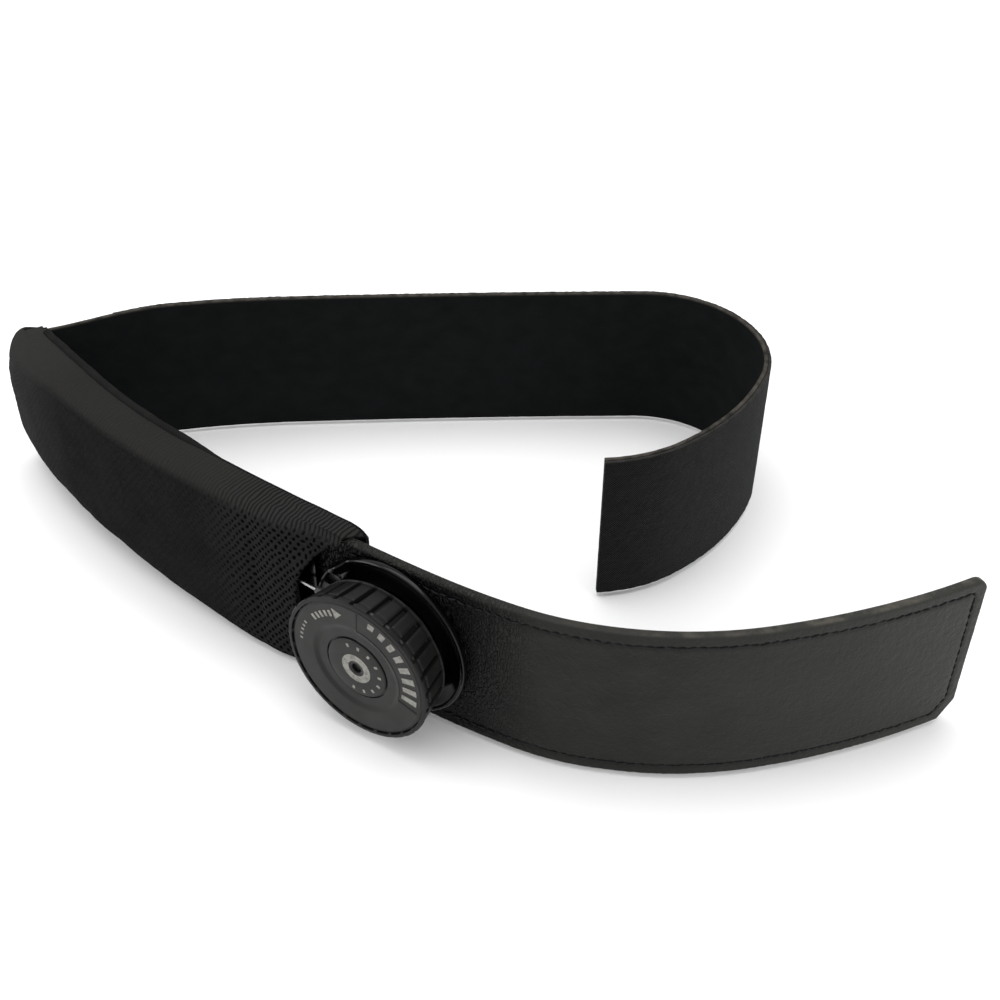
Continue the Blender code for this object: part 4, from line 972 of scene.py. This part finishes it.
def build_face():
    satin = plastic_material("face_satin", grey(0.0085, 0.06), grey(0.0165, 0.06), 0.36, 0.16, 0.00005,
                             2200.0)
    angles = np.radians(np.sort(np.concatenate([np.arange(-180, 180, 2.5),
                                                [-17.6, -17.2, -16.8, 85.8, 86.2, 86.6]])))
    radii = np.concatenate([np.arange(10.0, 13.5, 0.3), [13.75, 13.95, 14.1, 14.5], np.arange(15, 20, 0.6),
                            [20.1, 20.25, 20.4, 20.7, 20.95, 21.1]])
    top = [(r, FACE_LEVEL) for r in radii]
    profile = np.array(top + [(21.1, 15.35), (9.9, 15.35), (9.9, 15.6)])

    def relief(a, r, h):
        upper = h > 16
        degrees = np.degrees(a)
        across = (smooth(degrees, PANEL[0] - 0.3, PANEL[0] + 0.3)
                  * smooth(degrees, PANEL[1] + 0.3, PANEL[1] - 0.3))
        inside = across * smooth(r, PANEL_RADII[0] - 0.12, PANEL_RADII[0] + 0.12) * smooth(
            r, PANEL_RADII[1] + 0.12, PANEL_RADII[1] - 0.12)
        dish = 0.55 * smooth(r, 14.3, 12.4) * (1 - across * 0.3)
        rim = 0.3 * smooth(r, 20.35, 21.1)
        return r, np.where(upper, h - PANEL_DEPTH * inside - dish - rim, h)

    face = polar_piece("face_disc", angles, profile, satin, relief, sharp=22)
    place(face, "knob", "face_plastic", "knob_face")

    badge = plastic_material("badge_satin", grey(0.0075, 0.05), grey(0.014, 0.05), 0.34, 0.16, 0.00003,
                             2600.0)
    profile = np.array([(1.5, 15.35), (9.35, 15.35), (9.4, 15.5), (9.4, 15.8), (9.2, 16.0), (8.8, 16.06),
                        (6, 16.1), (3, 16.12), (1.8, 16.12), (1.5, 15.95)])
    place(polar_piece("badge_disc", circle_angles(96), profile, badge), "knob", "badge_plastic",
          "center_badge")
    build_marks()


def build_marks():
    """A rising scale, a direction arrow and plain ticks in place of any lettering."""
    low = FACE_LEVEL - PANEL_DEPTH - 0.02
    parts = []
    for index in range(8):
        angle = 72 - 11.4 * index
        parts.append(sector(19.3 - 2.0 - 0.38 * index, 19.3, angle - 2.9, angle + 2.9, low, low + 0.09))
    level = FACE_LEVEL - 0.02
    for index in range(5):
        angle = 137 - 5.6 * index
        parts.append(sector(16.6, 18.5, angle - 1.5, angle + 1.5, level, level + 0.09))
    arrow = [(17.55 + 1.7, 110.5), (17.55, 101.5), (17.55 - 1.7, 110.5)]
    corners = [(r * math.cos(math.radians(a)), r * math.sin(math.radians(a))) for r, a in arrow]
    parts.append(prism(corners, level, level + 0.09, 0.02))
    for index in range(5):
        angle = 174 - 5.4 * index
        parts.append(sector(17.6, 18.5, angle - 1.1, angle + 1.1, level, level + 0.08))
    for index in range(9):
        angle = 108 - 26 * index
        parts.append(sector(7.0, 8.1, angle - 3, angle + 3, 16.05, 16.13))
    for index in range(24):
        parts.append(sector(2.5, 4.6, index * 15 - 0.02, index * 15 + 15.02, 16.09, 16.17, 3))
    place(merged("scale_marks", parts, print_material(), sharp=30), "knob", "face_plastic")


def build_inner_parts():
    """Materials for the CAD nodes inside the reel and the anchor, and the lace."""
    nylon = plastic_material("nylon_moulded", grey(0.012), grey(0.02), 0.48)
    liner = plastic_material("liner_moulded", grey(0.02), grey(0.035), 0.35)
    acetal = plastic_material("acetal_white", (0.5, 0.5, 0.48), (0.6, 0.6, 0.575), 0.4)
    steel = metal_material("steel_turned", 0.6, 0.25)
    for finish, names in (
        (nylon, ("reel_housing", "spool", "knob_core", "anchor_plate")),
        (liner, ("lace_guide_upper", "lace_guide_lower")),
        (acetal, ("ratchet_disc",)),
        (steel, ("axle_screw", "axle_washer")),
    ):
        for name in names:
            NODES[name].data.materials.clear()
            NODES[name].data.materials.append(finish)
    build_lace()
    build_spring(steel)


def build_spring(steel):
    """The knob's spring under the washer, as a fixed coil."""
    t = np.linspace(0, 1, 90)
    angle = 2 * math.pi * 2.25 * t
    coil = on_dial(np.stack([3.825 * np.cos(angle), 3.825 * np.sin(angle), 8.725 + 2.55 * t], -1))
    spring = merged("spring_coil", [tube(coil, np.full(90, 0.225 * MM), 10)], steel, sharp=0)
    place(spring, "knob", "stainless_steel", "knob_spring")
    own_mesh(spring)


def stranded(points, radius):
    """A tube with three strands laid round it."""
    points = np.asarray(points)
    steps = np.linalg.norm(np.diff(points, axis=0), axis=1)
    run = np.concatenate([[0], np.cumsum(steps)])
    even = np.arange(0, run[-1], 0.5 * MM)
    line = np.stack([np.interp(even, run, points[:, axis]) for axis in range(3)], -1)
    rings, faces = tube(line, np.full(len(line), 1.0), 12)
    rings = rings.reshape(len(line), 12, 3) - line[:, None]
    angle = circle_angles(12)[None] + even[:, None] / (1.1 * MM)
    lobes = radius * (0.84 + 0.16 * np.abs(np.cos(1.5 * angle)))
    return (line[:, None] + rings * lobes[..., None]).reshape(-1, 3), faces


def build_lace():
    wire = metal_material("lace_strands", 0.35, 0.4)
    angle = math.pi / 2 - math.radians(280) * np.linspace(1, 0, 60)
    wrap = on_dial(np.stack([LACE_BEND * np.cos(angle), LACE_BEND * np.sin(angle),
                             np.full(60, LACE_HEIGHT)], -1))
    place(merged("lace_wrap", [stranded(wrap, LACE_RADIUS * MM)], wire, sharp=0),
          "spool", "lace_wire", "lace")
    exits = np.arange(-13.7, -25, -1.5)
    out = on_dial(np.stack([exits, np.full(len(exits), LACE_BEND), np.full(len(exits), LACE_HEIGHT)], -1))
    bollard = -144.4
    along = np.arange(-28, bollard, -1.5)
    turn = np.linspace(math.pi / 2, -math.pi / 2, 24)
    there = BELT.place(along, np.full(len(along), LACE_HEIGHT), np.full(len(along), MID + LACE_BEND))
    around = BELT.place(bollard - LACE_BEND * np.cos(turn), np.full(24, LACE_HEIGHT),
                        MID + LACE_BEND * np.sin(turn))
    back = BELT.place(along[::-1], np.full(len(along), LACE_HEIGHT), np.full(len(along), MID - LACE_BEND))
    home = on_dial(np.stack([exits[::-1], np.full(len(exits), -LACE_BEND),
                             np.full(len(exits), LACE_HEIGHT)], -1))
    route = np.concatenate([out, there, around, back, home])
    runs = merged("lace_runs", [stranded(route, LACE_RADIUS * MM)], wire, sharp=0)
    place(runs, "root", "lace_wire")
    draw_in(runs)


# ---------------------------------------------------------------- placing


def place(obj, body, slot, *nodes):
    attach(obj, body)
    if nodes:
        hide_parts(*nodes)


def draw_in(obj):
    """Gives a sleeve piece its own mesh data. The anchor and end points are worked out, but nothing moves the
    piece.
    """
    anchor = Vector(BELT.place(np.array(SLEEVE_MOUTH - 8.0), np.array(0.0), np.array(MID)).tolist())
    end = Vector(BELT.place(np.array(SLEEVE_END), np.array(0.0), np.array(MID)).tolist())
    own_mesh(obj)


# ---------------------------------------------------------------- studio


def area_light(name, location, target, size, power):
    data = bpy.data.lights.new(name, "AREA")
    data.shape = "RECTANGLE"
    data.size, data.size_y = size
    data.energy = power
    light = bpy.data.objects.new(name, data)
    light.location = location
    light.rotation_euler = (Vector(target) - Vector(location)).to_track_quat("-Z", "Y").to_euler()
    bpy.context.scene.collection.objects.link(light)


def build_studio():
    scene = bpy.context.scene
    data = bpy.data.cameras.new("camera")
    data.lens = 50.4
    data.sensor_width = 36
    camera = bpy.data.objects.new("camera", data)
    turn = Matrix.Rotation(math.radians(51.47), 4, "X") @ Matrix.Rotation(math.radians(0.554), 4, "Z")
    camera.matrix_world = Matrix.Translation((0.01606, -0.326614, 0.28703)) @ turn
    scene.collection.objects.link(camera)
    scene.camera = camera
    bpy.ops.mesh.primitive_plane_add(size=8, location=(0, 0, -0.0002))
    floor = bpy.context.object
    floor.name = "floor"
    finish = Finish("floor_paint", 0.9, 0.0)
    tone = finish.noise(finish.place(), 3.0)
    finish.color(finish.ramp(tone, (0.3, (0.88, 0.88, 0.88)), (0.7, (0.9, 0.9, 0.9))))
    floor.data.materials.append(finish.material)
    world = bpy.data.worlds.new("studio")
    world.use_nodes = True
    background = world.node_tree.nodes["Background"]
    background.inputs["Color"].default_value = (1, 1, 1, 1)
    background.inputs["Strength"].default_value = 0.85
    scene.world = world
    area_light("top_softbox", (0.0, 0.15, 1.1), (0, 0, 0), (1.2, 0.9), 9)
    area_light("left_softbox", (-0.9, -0.05, 0.45), (-0.1, 0, 0.03), (0.6, 0.5), 3.2)
    area_light("right_softbox", (0.75, -0.65, 0.5), (0.1, -0.05, 0.03), (0.5, 0.5), 2.6)
    scene.view_settings.view_transform = "Standard"


build_tab()
build_sleeve()
build_fold()
build_strap()
build_base()
build_grip()
build_face()
build_inner_parts()
build_studio()
